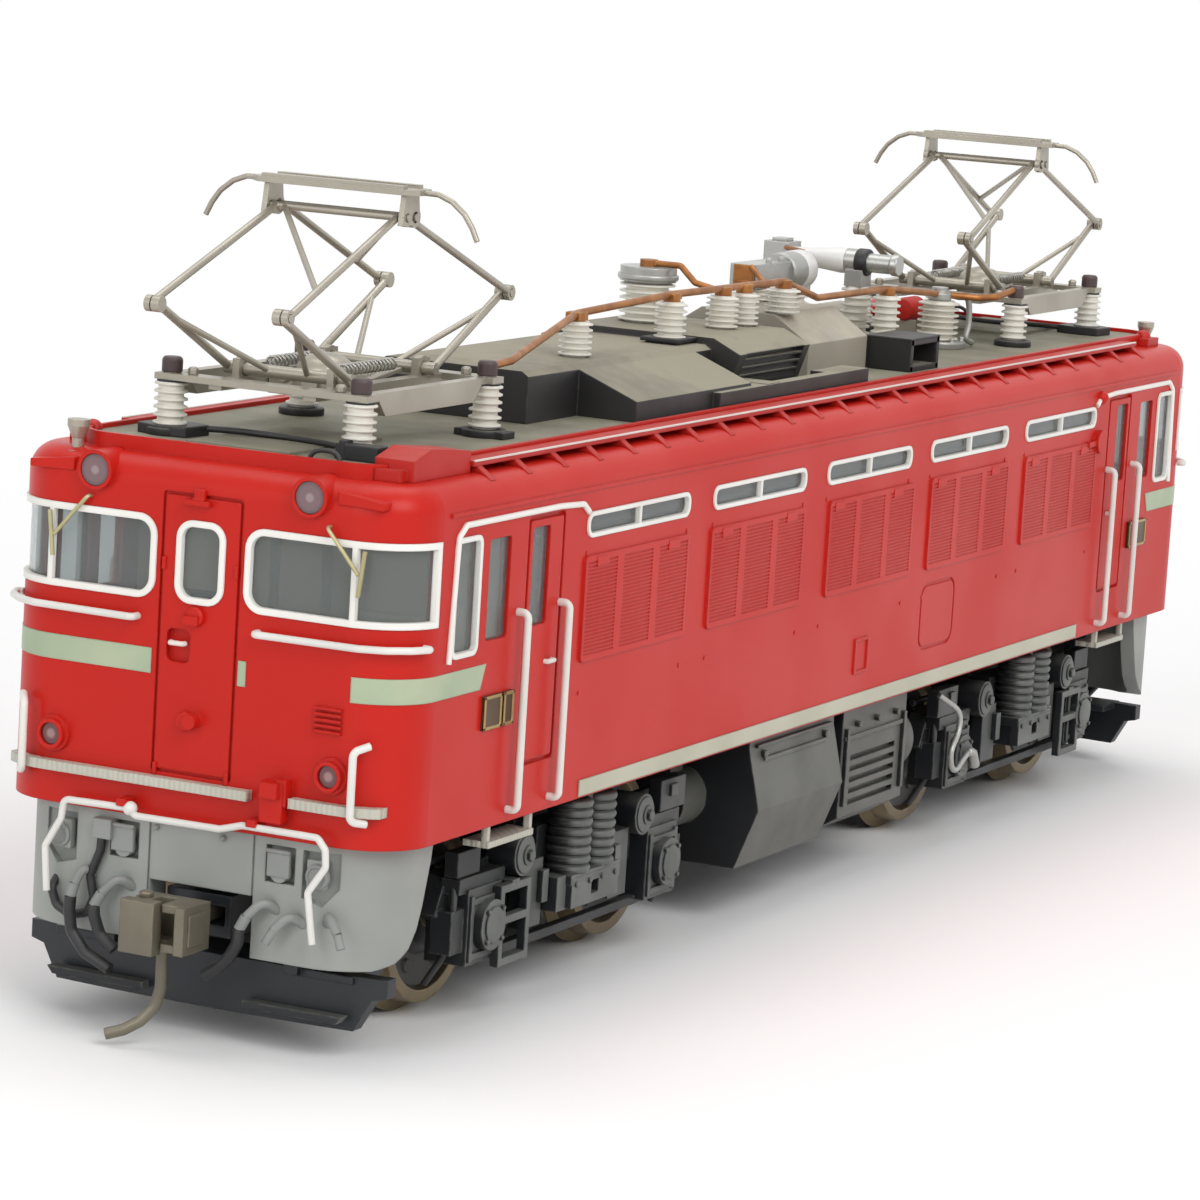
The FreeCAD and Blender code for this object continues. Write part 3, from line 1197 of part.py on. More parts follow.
def upper_frame():
    x0, x1 = xp + knee_x, xp + top_x
    items = [rod((x1, -6.35, top_z), (x1, 6.35, top_z), tube)]
    for side in sides:
        items.append(rod((x0, side * 5.85, knee_z), (x1, side * 5.3, top_z), tube))
        items.append(rod((x0, side * 5.62, knee_z), (x0, side * 6.1, knee_z), 0.62))
    # One diagonal stiffens the frame.
    along = 4.6
    start = Vector(x0 - along * math.cos(upper_rest), 5.7, knee_z + along * math.sin(upper_rest))
    items.append(rod(start, (x1, -4.6, top_z), 0.24))
    bores = [
        rod((x0, side * 5.3, knee_z), (x0, side * 6.4, knee_z), 0.34) for side in sides
    ]
    return carve(items, bores)


head_items = []
pan_z = top_z + 1.75
for side in sides:
    web = [(-1.4, -0.6), (1.4, -0.6), (1.0, 1.9), (-1.0, 1.9)]
    plate = [
        free(prism([(xp + x, top_z + z) for x, z in web], "y", side * 5.98 - 0.22, side * 5.98 + 0.22)),
        rod((xp - top_x, side * 5.75, top_z), (xp - top_x, side * 6.2, top_z), 0.7),
        rod((xp + top_x, side * 5.75, top_z), (xp + top_x, side * 6.2, top_z), 0.8),
    ]
    gaps = [
        rod((xp - top_x, side * 5.5, top_z), (xp - top_x, side * 6.6, top_z), tube + 0.04),
        rod((xp + top_x, side * 5.5, top_z), (xp + top_x, side * 6.6, top_z), tube + 0.15),
    ]
    head_items.append(carve(plate, gaps))
    horn = ((6.2, 0), (8.4, -0.05), (9.6, -0.5), (10.7, -1.35), (11.4, -2.3), (11.9, -3.3))
    head_items += bent([(xp, side * y, pan_z + 0.24 + z) for y, z in horn], 0.22)
pan_plan = [(-1.65, -6.4), (-0.9, -7.3), (0.9, -7.3), (1.65, -6.4)]
pan_plan += [(-x, -y) for x, y in pan_plan]
head_items.append(free(prism([(xp + x, y) for x, y in pan_plan], "z", pan_z, pan_z + 0.45)))
for offset in (-1.2, 1.2):
    head_items.append(block((0.7, 12.4, 0.3), (xp + offset, 0, pan_z + 0.4)))
inner_lower = lower_frame()
inner_upper = upper_frame()
pan_nodes = (
    (about_centre(inner_lower), "outer_lower_frame"), (inner_lower, "inner_lower_frame"),
    (about_centre(inner_upper), "outer_upper_frame"), (inner_upper, "inner_upper_frame"),
    (fuse(head_items), "collector_head"),
)
for item, name in pan_nodes:
    node(item, f"front_{name}")
    node(turned(item), f"rear_{name}")

# Cab fittings seen through the windows.
cab = [
    block((1.0, 31.6, 19.4), (-65.9, 0, 19.8)), block((6.5, 27.6, 0.8), (-78.8, 0, 28.2)),
    block((5.2, 9.5, 1.6), (-79.0, -8.8, 28.9)), block((4.0, 6.5, 0.9), (-72.0, -8.8, 25.2)),
    block((0.9, 6.0, 6.5), (-69.8, -8.8, 25.6)), block((1.0, 1.0, 5.6), (-72.0, -8.8, 19.8)),
    block((5.5, 1.0, 7.0), (-78.8, 0, 21.3)), block((4.0, 6.0, 0.9), (-71.4, 8.8, 25.2)),
    block((0.9, 6.0, 5.5), (-69.4, 8.8, 25.6)), block((1.0, 1.0, 5.6), (-71.4, 8.8, 19.8)),
    block((11.6, 1.2, 1.4), (-71.9, 6.0, 19.8)), block((11.6, 1.2, 1.4), (-71.9, -6.0, 19.8)),
]
cab_set = fuse(cab)
node(fuse([cab_set, turned(cab_set)]), "cab_interiors")

doc.recompute()
failed = [item.Label for item in doc.Objects if set(item.State) & {"Invalid", "Error"}]
bad = [item.Label for item in nodes if item.Shape.isNull() or not item.Shape.isValid()]
if failed or bad:
    raise RuntimeError(f"failed objects {failed}, bad shapes {bad}")
os.makedirs("parts", exist_ok=True)
for item in nodes:
    item.Shape.exportStep(f"parts/{item.Label}.step")
print(len(nodes), "sub-parts written")
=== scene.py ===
import math

import bmesh
import bpy
from mathutils import Matrix, Vector


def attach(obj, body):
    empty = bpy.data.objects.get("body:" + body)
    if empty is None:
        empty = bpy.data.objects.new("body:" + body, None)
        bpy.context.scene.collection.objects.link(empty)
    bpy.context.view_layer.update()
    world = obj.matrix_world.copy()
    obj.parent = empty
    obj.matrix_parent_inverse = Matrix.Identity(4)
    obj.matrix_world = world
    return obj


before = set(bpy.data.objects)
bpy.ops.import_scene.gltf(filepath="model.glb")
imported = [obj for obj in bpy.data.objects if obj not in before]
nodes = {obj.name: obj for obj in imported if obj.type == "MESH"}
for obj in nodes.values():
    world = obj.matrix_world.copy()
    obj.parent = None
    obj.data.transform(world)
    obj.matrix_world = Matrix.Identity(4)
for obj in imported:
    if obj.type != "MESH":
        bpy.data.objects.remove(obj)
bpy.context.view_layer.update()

mm = 0.001
sides = (-1, 1)
ends = ("front", "rear")
print("frame loaded,", len(nodes), "nodes")


def at(x, y, z):
    return Vector((x, y, z)) * mm


def newGroup(name, inputs, outputs):
    group = bpy.data.node_groups.new(name, "ShaderNodeTree")
    for label, kind, value in inputs:
        socket = group.interface.new_socket(label, in_out="INPUT", socket_type=kind)
        socket.default_value = value
    for label, kind in outputs:
        group.interface.new_socket(label, in_out="OUTPUT", socket_type=kind)
    return group, group.nodes.new("NodeGroupInput"), group.nodes.new("NodeGroupOutput")


def mathNode(tree, operation, first, second=None, clamp=False):
    node = tree.nodes.new("ShaderNodeMath")
    node.operation = operation
    node.use_clamp = clamp
    for socket, value in zip(node.inputs, (first, second)):
        if value is None:
            continue
        if isinstance(value, (int, float)):
            socket.default_value = value
        else:
            tree.links.new(value, socket)
    return node.outputs[0]


def setInputs(node, values):
    for label, value in values.items():
        node.inputs[label].default_value = value
    return node


# Noise fixed to the piece itself
def noiseNode(tree, scale, detail, rough=0.5):
    node = setInputs(tree.nodes.new("ShaderNodeTexNoise"), {"Detail": detail, "Roughness": rough})
    if isinstance(scale, (int, float)):
        node.inputs["Scale"].default_value = scale
    else:
        tree.links.new(scale, node.inputs["Scale"])
    coords = tree.nodes.new("ShaderNodeTexCoord")
    tree.links.new(coords.outputs["Object"], node.inputs["Vector"])
    return node.outputs["Fac"]


def spread(tree, value, low, high, outLow=0.0, outHigh=1.0):
    node = tree.nodes.new("ShaderNodeMapRange")
    node.interpolation_type = "SMOOTHSTEP"
    setInputs(node, {"From Min": low, "From Max": high, "To Min": outLow, "To Max": outHigh})
    tree.links.new(value, node.inputs["Value"])
    return node.outputs["Result"]


# Rubbed corners, seen where a rounded normal leaves the flat one
def makeEdgeGroup():
    group, entry, result = newGroup(
        "edgeRub",
        [("Radius", "NodeSocketFloat", 0.00025), ("Breakup", "NodeSocketFloat", 900.0)],
        [("Edge", "NodeSocketFloat"), ("Soft Normal", "NodeSocketVector")],
    )
    bevel = group.nodes.new("ShaderNodeBevel")
    bevel.samples = 4
    group.links.new(entry.outputs["Radius"], bevel.inputs["Radius"])
    plain = group.nodes.new("ShaderNodeNewGeometry")
    dot = group.nodes.new("ShaderNodeVectorMath")
    dot.operation = "DOT_PRODUCT"
    group.links.new(bevel.outputs["Normal"], dot.inputs[0])
    group.links.new(plain.outputs["Normal"], dot.inputs[1])
    corner = spread(group, dot.outputs["Value"], 0.995, 0.86)
    patchy = noiseNode(group, entry.outputs["Breakup"], 3.0)
    mask = mathNode(group, "MULTIPLY", corner, spread(group, patchy, 0.38, 0.62), True)
    group.links.new(mask, result.inputs["Edge"])
    group.links.new(bevel.outputs["Normal"], result.inputs["Soft Normal"])
    return group


# Fine moulding grain and a slow mottle
def makeGrainGroup():
    group, entry, result = newGroup(
        "mouldGrain",
        [("Fine Scale", "NodeSocketFloat", 9000.0), ("Broad Scale", "NodeSocketFloat", 120.0),
         ("Broad Height", "NodeSocketFloat", 2.0)],
        [("Height", "NodeSocketFloat"), ("Mottle", "NodeSocketFloat")],
    )
    fine = noiseNode(group, entry.outputs["Fine Scale"], 3.0, 0.6)
    broad = noiseNode(group, entry.outputs["Broad Scale"], 3.0)
    swell = mathNode(group, "MULTIPLY", broad, entry.outputs["Broad Height"])
    group.links.new(mathNode(group, "ADD", fine, swell), result.inputs["Height"])
    group.links.new(spread(group, broad, 0.3, 0.7), result.inputs["Mottle"])
    return group


# Dust that lies mostly on faces that look up; at full strength on the dark hoods it also paints their tops
# pale, as painted light from above
def makeDustAndTopLightGroup():
    group, entry, result = newGroup(
        "dustAndTopLightFilm",
        [("Amount", "NodeSocketFloat", 0.3), ("Scale", "NodeSocketFloat", 250.0),
         ("Base", "NodeSocketFloat", 0.0)],
        [("Dust", "NodeSocketFloat")],
    )
    geometry = group.nodes.new("ShaderNodeNewGeometry")
    split = group.nodes.new("ShaderNodeSeparateXYZ")
    group.links.new(geometry.outputs["Normal"], split.inputs[0])
    upward = spread(group, split.outputs["Z"], 0.2, 0.95, 0.05, 1.0)
    cloud = spread(group, noiseNode(group, entry.outputs["Scale"], 5.0, 0.65), 0.35, 0.75)
    patch = mathNode(group, "ADD", cloud, entry.outputs["Base"], True)
    patch = mathNode(group, "MULTIPLY", upward, patch)
    film = mathNode(group, "MULTIPLY", patch, entry.outputs["Amount"], True)
    group.links.new(film, result.inputs["Dust"])
    return group


edgeRub = makeEdgeGroup()
mouldGrain = makeGrainGroup()
dustAndTopLightFilm = makeDustAndTopLightGroup()


def srgb(red, green, blue):
    def linear(value):
        value /= 255
        return value / 12.92 if value <= 0.04045 else ((value + 0.055) / 1.055) ** 2.4
    return (linear(red), linear(green), linear(blue), 1.0)


def placeGroup(tree, group, values):
    node = tree.nodes.new("ShaderNodeGroup")
    node.node_tree = group
    return setInputs(node, values)


def mixColour(tree, factor, first, second, blend="MIX"):
    node = tree.nodes.new("ShaderNodeMix")
    node.data_type = "RGBA"
    node.blend_type = blend
    for index, value in ((0, factor), (6, first), (7, second)):
        if isinstance(value, (int, float, tuple)):
            node.inputs[index].default_value = value
        else:
            tree.links.new(value, node.inputs[index])
    return node.outputs[2]


def surface(name, look):
    material = bpy.data.materials.new(name)
    material.use_nodes = True
    tree = material.node_tree
    shader = tree.nodes["Principled BSDF"]
    edges = placeGroup(tree, edgeRub, {"Radius": look.get("edgeRadius", 0.0002),
                                       "Breakup": look.get("breakup", 900.0)})
    grain = placeGroup(tree, mouldGrain, {"Fine Scale": look.get("fine", 9000.0),
                                          "Broad Scale": look.get("broad", 120.0),
                                          "Broad Height": look.get("swell", 2.0)})
    dust = placeGroup(tree, dustAndTopLightFilm, {"Amount": look.get("dust", 0.15),
                                       "Scale": look.get("dustScale", 250.0),
                                       "Base": look.get("dustBase", 0.0)})
    colour = mixColour(tree, grain.outputs["Mottle"], look["colour"], look["shade"])
    if "paint" in look:
        colour = look["paint"](tree, colour)
    worn = mathNode(tree, "MULTIPLY", edges.outputs["Edge"], look.get("wear", 0.3))
    colour = mixColour(tree, worn, colour, look["worn"])
    colour = mixColour(tree, dust.outputs["Dust"], colour, look.get("dustColour", srgb(190, 182, 168)))
    tree.links.new(colour, shader.inputs["Base Color"])
    span = look.get("roughSpan", 0.05)
    rough = spread(tree, grain.outputs["Mottle"], 0.0, 1.0, look["rough"] - span, look["rough"] + span)
    rough = mathNode(tree, "ADD", rough, mathNode(tree, "MULTIPLY", dust.outputs["Dust"], 0.3), True)
    tree.links.new(rough, shader.inputs["Roughness"])
    setInputs(shader, {"Metallic": look.get("metal", 0.0), "Specular IOR Level": look.get("specular", 0.5)})
    if look.get("coat"):
        setInputs(shader, {"Coat Weight": look["coat"], "Coat Roughness": look.get("coatRough", 0.12)})
    height = grain.outputs["Height"]
    if "relief" in look:
        height = look["relief"](tree, height)
    bump = setInputs(tree.nodes.new("ShaderNodeBump"),
                     {"Strength": look.get("bump", 0.15), "Distance": look.get("depth", 0.00002)})
    tree.links.new(height, bump.inputs["Height"])
    tree.links.new(edges.outputs["Soft Normal"], bump.inputs["Normal"])
    tree.links.new(bump.outputs["Normal"], shader.inputs["Normal"])
    return material


def glassSurface(name, tint, clear, rough=0.02):
    material = bpy.data.materials.new(name)
    material.use_nodes = True
    tree = material.node_tree
    shader = tree.nodes["Principled BSDF"]
    grain = placeGroup(tree, mouldGrain, {"Fine Scale": 1500.0, "Broad Scale": 90.0})
    tree.links.new(mixColour(tree, grain.outputs["Mottle"], tint, tuple(c * 0.93 for c in tint[:3]) + (1.0,)),
                   shader.inputs["Base Color"])
    setInputs(shader, {"Transmission Weight": clear, "IOR": 1.3, "Metallic": 0.0})
    tree.links.new(spread(tree, grain.outputs["Mottle"], 0.0, 1.0, rough, rough + 0.03),
                   shader.inputs["Roughness"])
    bump = setInputs(tree.nodes.new("ShaderNodeBump"), {"Strength": 0.08, "Distance": 0.00001})
    tree.links.new(grain.outputs["Height"], bump.inputs["Height"])
    tree.links.new(bump.outputs["Normal"], shader.inputs["Normal"])
    return material


def splitPlace(tree):
    coords = tree.nodes.new("ShaderNodeTexCoord")
    parts = tree.nodes.new("ShaderNodeSeparateXYZ")
    tree.links.new(coords.outputs["Object"], parts.inputs[0])
    return parts.outputs


def ringDistance(tree, across, height, centreY, centreZ):
    sideways = mathNode(tree, "SUBTRACT", mathNode(tree, "ABSOLUTE", across), centreY * mm)
    upward = mathNode(tree, "SUBTRACT", height, centreZ * mm)
    return mathNode(tree, "SQRT", mathNode(tree, "ADD", mathNode(tree, "MULTIPLY", sideways, sideways),
                                           mathNode(tree, "MULTIPLY", upward, upward)))


# glint and tailGlint are painted highlights at the centres of the head and tail lenses
lampPaint = dict(headY=9.2, headZ=42.3, tailY=12.0, tailZ=22.0,
                 rim=srgb(92, 70, 74), dish=srgb(112, 82, 86), glint=srgb(142, 122, 124),
                 tailDish=srgb(92, 34, 38), tailGlint=srgb(150, 112, 110))


def paintLens(tree, colour):
    _, across, height = splitPlace(tree)
    head = ringDistance(tree, across, height, lampPaint["headY"], lampPaint["headZ"])
    tail = ringDistance(tree, across, height, lampPaint["tailY"], lampPaint["tailZ"])
    headFill = mixColour(tree, spread(tree, head, 0.0002, 0.00045), lampPaint["glint"], lampPaint["dish"])
    headFill = mixColour(tree, spread(tree, head, 0.0008, 0.0011), headFill, lampPaint["rim"])
    tailFill = mixColour(tree, spread(tree, tail, 0.0002, 0.0005), lampPaint["tailGlint"],
                         lampPaint["tailDish"])
    upper = mathNode(tree, "GREATER_THAN", height, 32 * mm)
    return mixColour(tree, upper, tailFill, headFill)


# Raised checker tread on the footboards and cab steps
def treadRelief(tree, height):
    along, across, _ = splitPlace(tree)
    waves = []
    for first, second, operation in ((along, across, "ADD"), (along, across, "SUBTRACT")):
        slope = mathNode(tree, "MULTIPLY", mathNode(tree, operation, first, second), 7000.0)
        waves.append(mathNode(tree, "SINE", slope))
    studs = mathNode(tree, "MULTIPLY", mathNode(tree, "MAXIMUM", waves[0], waves[1]), 1.5)
    return mathNode(tree, "ADD", height, studs)


# Roof dirt in noise patches over the deck
def paintDeck(tree, colour):
    stain = noiseNode(tree, 45.0, 5.0, 0.6)
    return mixColour(tree, spread(tree, stain, 0.45, 0.7), colour, srgb(104, 99, 84))


# Painted shade: faces that do not look out or up, and parts deep between the bogie sides, are darkened to
# near black where shadow falls; outward and upward faces keep the grey
paintedCastShade = dict(shadeDark=srgb(20, 22, 26), inner=13.8, outer=15.4, least=0.12)


def outwardFaces(tree):
    coords = tree.nodes.new("ShaderNodeTexCoord")
    facing = tree.nodes.new("ShaderNodeSeparateXYZ")
    tree.links.new(coords.outputs["Normal"], facing.inputs[0])
    side = spread(tree, mathNode(tree, "ABSOLUTE", facing.outputs["Y"]), 0.3, 0.7)
    upper = spread(tree, facing.outputs["Z"], 0.3, 0.9, 0.0, 0.7)
    return mathNode(tree, "MAXIMUM", side, upper)


# Painted shade on the tanks: faces turned along the length darken to near black
def paintTankShade(tree, colour):
    return mixColour(tree, outwardFaces(tree), paintedCastShade["shadeDark"], colour)


# Painted shade on the bogie castings: inner parts and faces turned away darken to near black
def paintCastingShade(tree, colour):
    _, across, _ = splitPlace(tree)
    reach = spread(tree, mathNode(tree, "ABSOLUTE", across), paintedCastShade["inner"] * mm,
                   paintedCastShade["outer"] * mm, paintedCastShade["least"])
    cover = mathNode(tree, "MULTIPLY", outwardFaces(tree), reach, True)
    return mixColour(tree, cover, paintedCastShade["shadeDark"], colour)


def tones(colour, shade, worn, rough, slot, **more):
    return dict(colour=srgb(*colour), shade=srgb(*shade), worn=srgb(*worn), rough=rough, slot=slot, **more)


# Each finish: main tone, mottle, rubbed tone, roughness and the slot it stands for
looks = {
    "shellRed": tones((192, 28, 16), (187, 26, 15), (208, 62, 44), 0.38, "shell_red",
        coat=0.05, coatRough=0.25, specular=0.22, wear=0.25, dust=0.02, bump=0.05,
        fine=4000.0, broad=60.0, swell=0.0),
    "roofGrey": tones((130, 127, 108), (120, 117, 99), (158, 152, 138), 0.6, "roof_grey",
        dust=0.2, bump=0.2, paint=paintDeck),
    "boardRed": tones((184, 34, 24), (174, 30, 22), (205, 84, 66), 0.45, "shell_red",
        specular=0.3, wear=0.35, dust=0.08, bump=0.1),
    # Dark hoods: full dust over a high base paints the up-facing tops pale, partly dust and partly painted
    # light from above
    "hoodDark": tones((16, 16, 22), (11, 11, 16), (96, 92, 86), 0.5, "hood_dark",
        wear=0.4, dust=1.0, dustColour=srgb(150, 144, 126), dustScale=40.0, dustBase=0.6, bump=0.2),
    "intakeBlack": tones((22, 23, 25), (17, 18, 20), (70, 70, 70), 0.45, "hood_dark", dust=0.12),
    "boxGrey": tones((164, 157, 143), (152, 145, 132), (182, 175, 158), 0.5, "box_grey",
        dust=0.6, dustColour=srgb(196, 186, 164)),
    "bandBeige": tones((186, 184, 164), (178, 176, 156), (205, 203, 186), 0.42, "band_beige",
        wear=0.2, dust=0.08),
    "stripeCream": tones((174, 183, 153), (158, 173, 144), (202, 202, 178), 0.4, "band_beige",
        wear=0.15, dust=0.02, broad=150.0),
    "porcelain": tones((236, 234, 224), (226, 222, 210), (246, 245, 240), 0.32, "porcelain",
        wear=0.2, dust=0.1, dustColour=srgb(180, 170, 150), coat=0.2, bump=0.05),
    "whiteDrum": tones((232, 231, 228), (222, 221, 218), (246, 246, 244), 0.35, "porcelain",
        wear=0.2, dust=0.06, coat=0.15),
    "copperBar": tones((170, 112, 56), (140, 88, 44), (205, 155, 95), 0.38, "copper_bar",
        metal=0.6, wear=0.5, dust=0.05, bump=0.2, broad=500.0),
    "silverArm": tones((172, 166, 152), (158, 152, 139), (206, 202, 192), 0.34, "silver_arm",
        metal=0.5, wear=0.22, dust=0.05, bump=0.05, edgeRadius=0.00005),
    "silverGear": tones((176, 176, 172), (160, 160, 156), (214, 214, 210), 0.3, "silver_arm",
        metal=0.6, wear=0.4, dust=0.06, bump=0.1),
    "frameWhite": tones((238, 236, 230), (230, 228, 221), (250, 250, 248), 0.35, "frame_silver",
        wear=0.2, dust=0.03),
    "wiperBrass": tones((188, 180, 138), (170, 160, 118), (215, 210, 175), 0.38, "wiper_metal", metal=0.5),
    "underGrey": tones((98, 101, 97), (84, 87, 85), (136, 138, 131), 0.48, "underframe_grey",
        paint=paintCastingShade, wear=0.45, dust=0.25, dustColour=srgb(112, 112, 104), bump=0.25, broad=200.0),
    "tankGrey": tones((92, 93, 88), (84, 85, 80), (144, 144, 136), 0.48, "underframe_grey",
        paint=paintTankShade, wear=0.45, dust=0.25, dustColour=srgb(128, 126, 117), bump=0.2, broad=150.0),
    "deepBlack": tones((24, 25, 26), (18, 19, 20), (60, 60, 60), 0.5, "plough_black", dust=0.1, bump=0.2),
    "pilotGrey": tones((150, 153, 148), (142, 145, 141), (172, 174, 170), 0.48, "pilot_grey", dust=0.06),
    "ploughBlack": tones((30, 33, 38), (24, 27, 32), (104, 106, 107), 0.4, "plough_black",
        wear=0.45, dust=0.25, dustColour=srgb(98, 99, 96), bump=0.2),
    "hoseBlack": tones((36, 36, 38), (28, 28, 30), (80, 80, 80), 0.45, "hose_black",
        wear=0.2, dust=0.1, bump=0.25),
    "cockGrey": tones((142, 144, 141), (126, 128, 125), (186, 187, 183), 0.5, "cock_grey", dust=0.1),
    "capBrown": tones((82, 66, 66), (66, 54, 55), (128, 110, 104), 0.45, "silver_arm",
        metal=0.2, wear=0.4, dust=0.1),
    "castMetal": tones((31, 32, 34), (25, 26, 28), (84, 83, 80), 0.55, "cast_metal",
        metal=0.3, wear=0.4, bump=0.4),
    "boardGreen": tones((32, 84, 52), (26, 72, 44), (90, 130, 100), 0.4, "board_green"),
    "motorSteel": tones((150, 150, 152), (130, 130, 132), (196, 196, 196), 0.35, "motor_steel", metal=0.8),
    "shaftSteel": tones((176, 174, 168), (150, 148, 142), (214, 214, 210), 0.3, "shaft_steel", metal=0.85),
    "gearPlastic": tones((200, 192, 170), (186, 178, 156), (226, 220, 200), 0.5, "gear_plastic"),
    "wheelNickel": tones((140, 124, 96), (112, 98, 76), (206, 190, 150), 0.35, "wheel_nickel",
        metal=0.7, wear=0.5, dust=0.2),
    "wheelDisc": tones((48, 47, 46), (40, 39, 38), (92, 90, 84), 0.5, "underframe_grey",
        wear=0.4, dust=0.25, bump=0.25),
    "couplerBronze": tones((120, 114, 98), (100, 95, 82), (164, 154, 132), 0.42, "coupler_bronze",
        metal=0.35, wear=0.5, dust=0.1, bump=0.3),
    "cabGreen": tones((128, 152, 118), (118, 142, 108), (170, 184, 154), 0.5, "cab_green"),
    "cabCream": tones((226, 224, 196), (218, 215, 186), (238, 236, 214), 0.5, "cab_green"),
    "cabDark": tones((58, 62, 64), (48, 52, 54), (98, 100, 100), 0.5, "underframe_grey"),
    "railWhite": tones((224, 222, 216), (214, 212, 206), (244, 244, 240), 0.35, "rail_grey", dust=0.04),
    "stepPale": tones((190, 188, 174), (180, 178, 164), (214, 212, 200), 0.42, "rail_grey",
        dust=0.1, bump=0.5, depth=0.00006, relief=treadRelief),
    "plateBrass": tones((92, 68, 44), (78, 58, 38), (150, 120, 78), 0.4, "plate_blank", metal=0.4, wear=0.4),
    "rimBrass": tones((176, 146, 92), (158, 130, 80), (214, 188, 134), 0.34, "plate_blank",
        metal=0.5, wear=0.5),
    "lensViolet": tones((112, 84, 86), (112, 84, 86), (112, 84, 86), 0.14, "lens",
        coat=0.9, coatRough=0.04, dust=0.02, bump=0.02, wear=0.1, paint=paintLens),
    "edgeWhite": tones((232, 228, 220), (224, 216, 208), (244, 240, 236), 0.4, "rail_grey",
        wear=0.2, dust=0.04),
}
finish = {name: surface(name, look) for name, look in looks.items()}
finish["paneClear"] = glassSurface("paneClear", srgb(206, 212, 212), 0.87)
print("finishes mixed,", len(finish))

nodeFinish = {
    "body_shell": "shellRed", "window_frames": "frameWhite", "window_glazing": "paneClear",
    "roof_deck": "roofGrey", "running_boards": "boardRed", "roof_hoods": "hoodDark",
    "roof_boxes": "boxGrey", "roof_insulators": "porcelain", "roof_busbars": "copperBar",
    "roof_breaker": "silverGear", "whistles": "silverArm", "handrails": "railWhite",
    "cab_steps": "stepPale", "blank_plates": "plateBrass", "side_band": "bandBeige",
    "lamp_lenses": "lensViolet", "wipers": "wiperBrass", "chassis_frame": "castMetal",
    "circuit_board": "boardGreen", "motor_case": "motorSteel", "motor_rotor": "shaftSteel",
    "underfloor_equipment": "tankGrey", "end_pilots": "pilotGrey", "snow_ploughs": "ploughBlack",
    "uncoupling_levers": "railWhite", "air_cocks": "cockGrey", "air_hoses": "hoseBlack",
    "coupler_pockets": "ploughBlack", "pantograph_bases": "silverArm", "cab_interiors": "cabCream",
}
endFinish = {
    "bogie_frame": "deepBlack", "bogie_sides": "underGrey", "keeper_plate": "ploughBlack",
    "input_shaft": "shaftSteel", "worm_shaft": "shaftSteel", "outer_wheelset": "wheelNickel",
    "inner_wheelset": "wheelNickel", "cardan_shaft": "gearPlastic", "coupler": "couplerBronze",
    "knuckle": "couplerBronze", "outer_lower_frame": "silverArm", "inner_lower_frame": "silverArm",
    "outer_upper_frame": "silverArm", "inner_upper_frame": "silverArm", "collector_head": "silverArm",
}
for end in ends:
    for name, label in endFinish.items():
        nodeFinish[f"{end}_{name}"] = label
for name, label in nodeFinish.items():
    node = nodes[name]
    if not node.material_slots:
        node.data.materials.append(finish[label])
    for holder in node.material_slots:
        holder.material = finish[label]
print("finishes laid on", len(nodeFinish), "nodes")


def addBlock(shape, centre, size, turn=None):
    corners = []
    for x in (-0.5, 0.5):
        for y in (-0.5, 0.5):
            for z in (-0.5, 0.5):
                corner = Vector((x * size[0], y * size[1], z * size[2]))
                if turn:
                    corner.rotate(turn)
                corners.append(shape.verts.new((corner + Vector(centre)) * mm))
    for loop in ((0, 1, 3, 2), (4, 6, 7, 5), (0, 4, 5, 1), (2, 3, 7, 6), (0, 2, 6, 4), (1, 5, 7, 3)):
        shape.faces.new([corners[k] for k in loop])


def addRings(shape, rings, closed=True):
    made = [[shape.verts.new(point * mm) for point in ring] for ring in rings]
    count = len(made[0])
    for first, second in zip(made, made[1:]):
        for k in range(count):
            follow = (k + 1) % count
            shape.faces.new((first[k], first[follow], second[follow], second[k]))
    if closed:
        shape.faces.new(list(reversed(made[0])))
        shape.faces.new(made[-1])


def addTube(shape, points, radius, count=10):
    points = [Vector(point) for point in points]
    rings = []
    normal = None
    for k, point in enumerate(points):
        ahead = (points[min(k + 1, len(points) - 1)] - points[max(k - 1, 0)]).normalized()
        if normal is None:
            normal = ahead.orthogonal().normalized()
        normal = (normal - ahead * normal.dot(ahead)).normalized()
        side = ahead.cross(normal)
        rings.append([point + (normal * math.cos(a) + side * math.sin(a)) * radius
                      for a in (2 * math.pi * step / count for step in range(count))])
    addRings(shape, rings)


def smoothPath(points, steps=6):
    points = [Vector(point) for point in points]
    padded = [2 * points[0] - points[1]] + points + [2 * points[-1] - points[-2]]
    path = []
    for a, b, c, d in zip(padded, padded[1:], padded[2:], padded[3:]):
        for step in range(steps):
            t = step / steps
            path.append(0.5 * ((2 * b) + (c - a) * t + (2 * a - 5 * b + 4 * c - d) * t * t
                               + (3 * b - a - 3 * c + d) * t ** 3))
    return path + [points[-1]]


def addLathe(shape, profile, centre, axis="z", count=24):
    frameAxes = {"x": ((0, 1, 0), (0, 0, 1), (1, 0, 0)), "y": ((0, 0, 1), (1, 0, 0), (0, 1, 0)),
                 "z": ((1, 0, 0), (0, 1, 0), (0, 0, 1))}[axis]
    first, second, along = (Vector(v) for v in frameAxes)
    rings = []
    for radius, height in profile:
        rings.append([Vector(centre) + along * height
                      + (first * math.cos(a) + second * math.sin(a)) * max(radius, 0.02)
                      for a in (2 * math.pi * step / count for step in range(count))])
    addRings(shape, rings)


# A round stud that points out of one side; steps holds radii and heights
def addStud(shape, place, side, steps, count=6):
    addLathe(shape, [(radius, side * height) for radius, height in steps], place, "y", count)


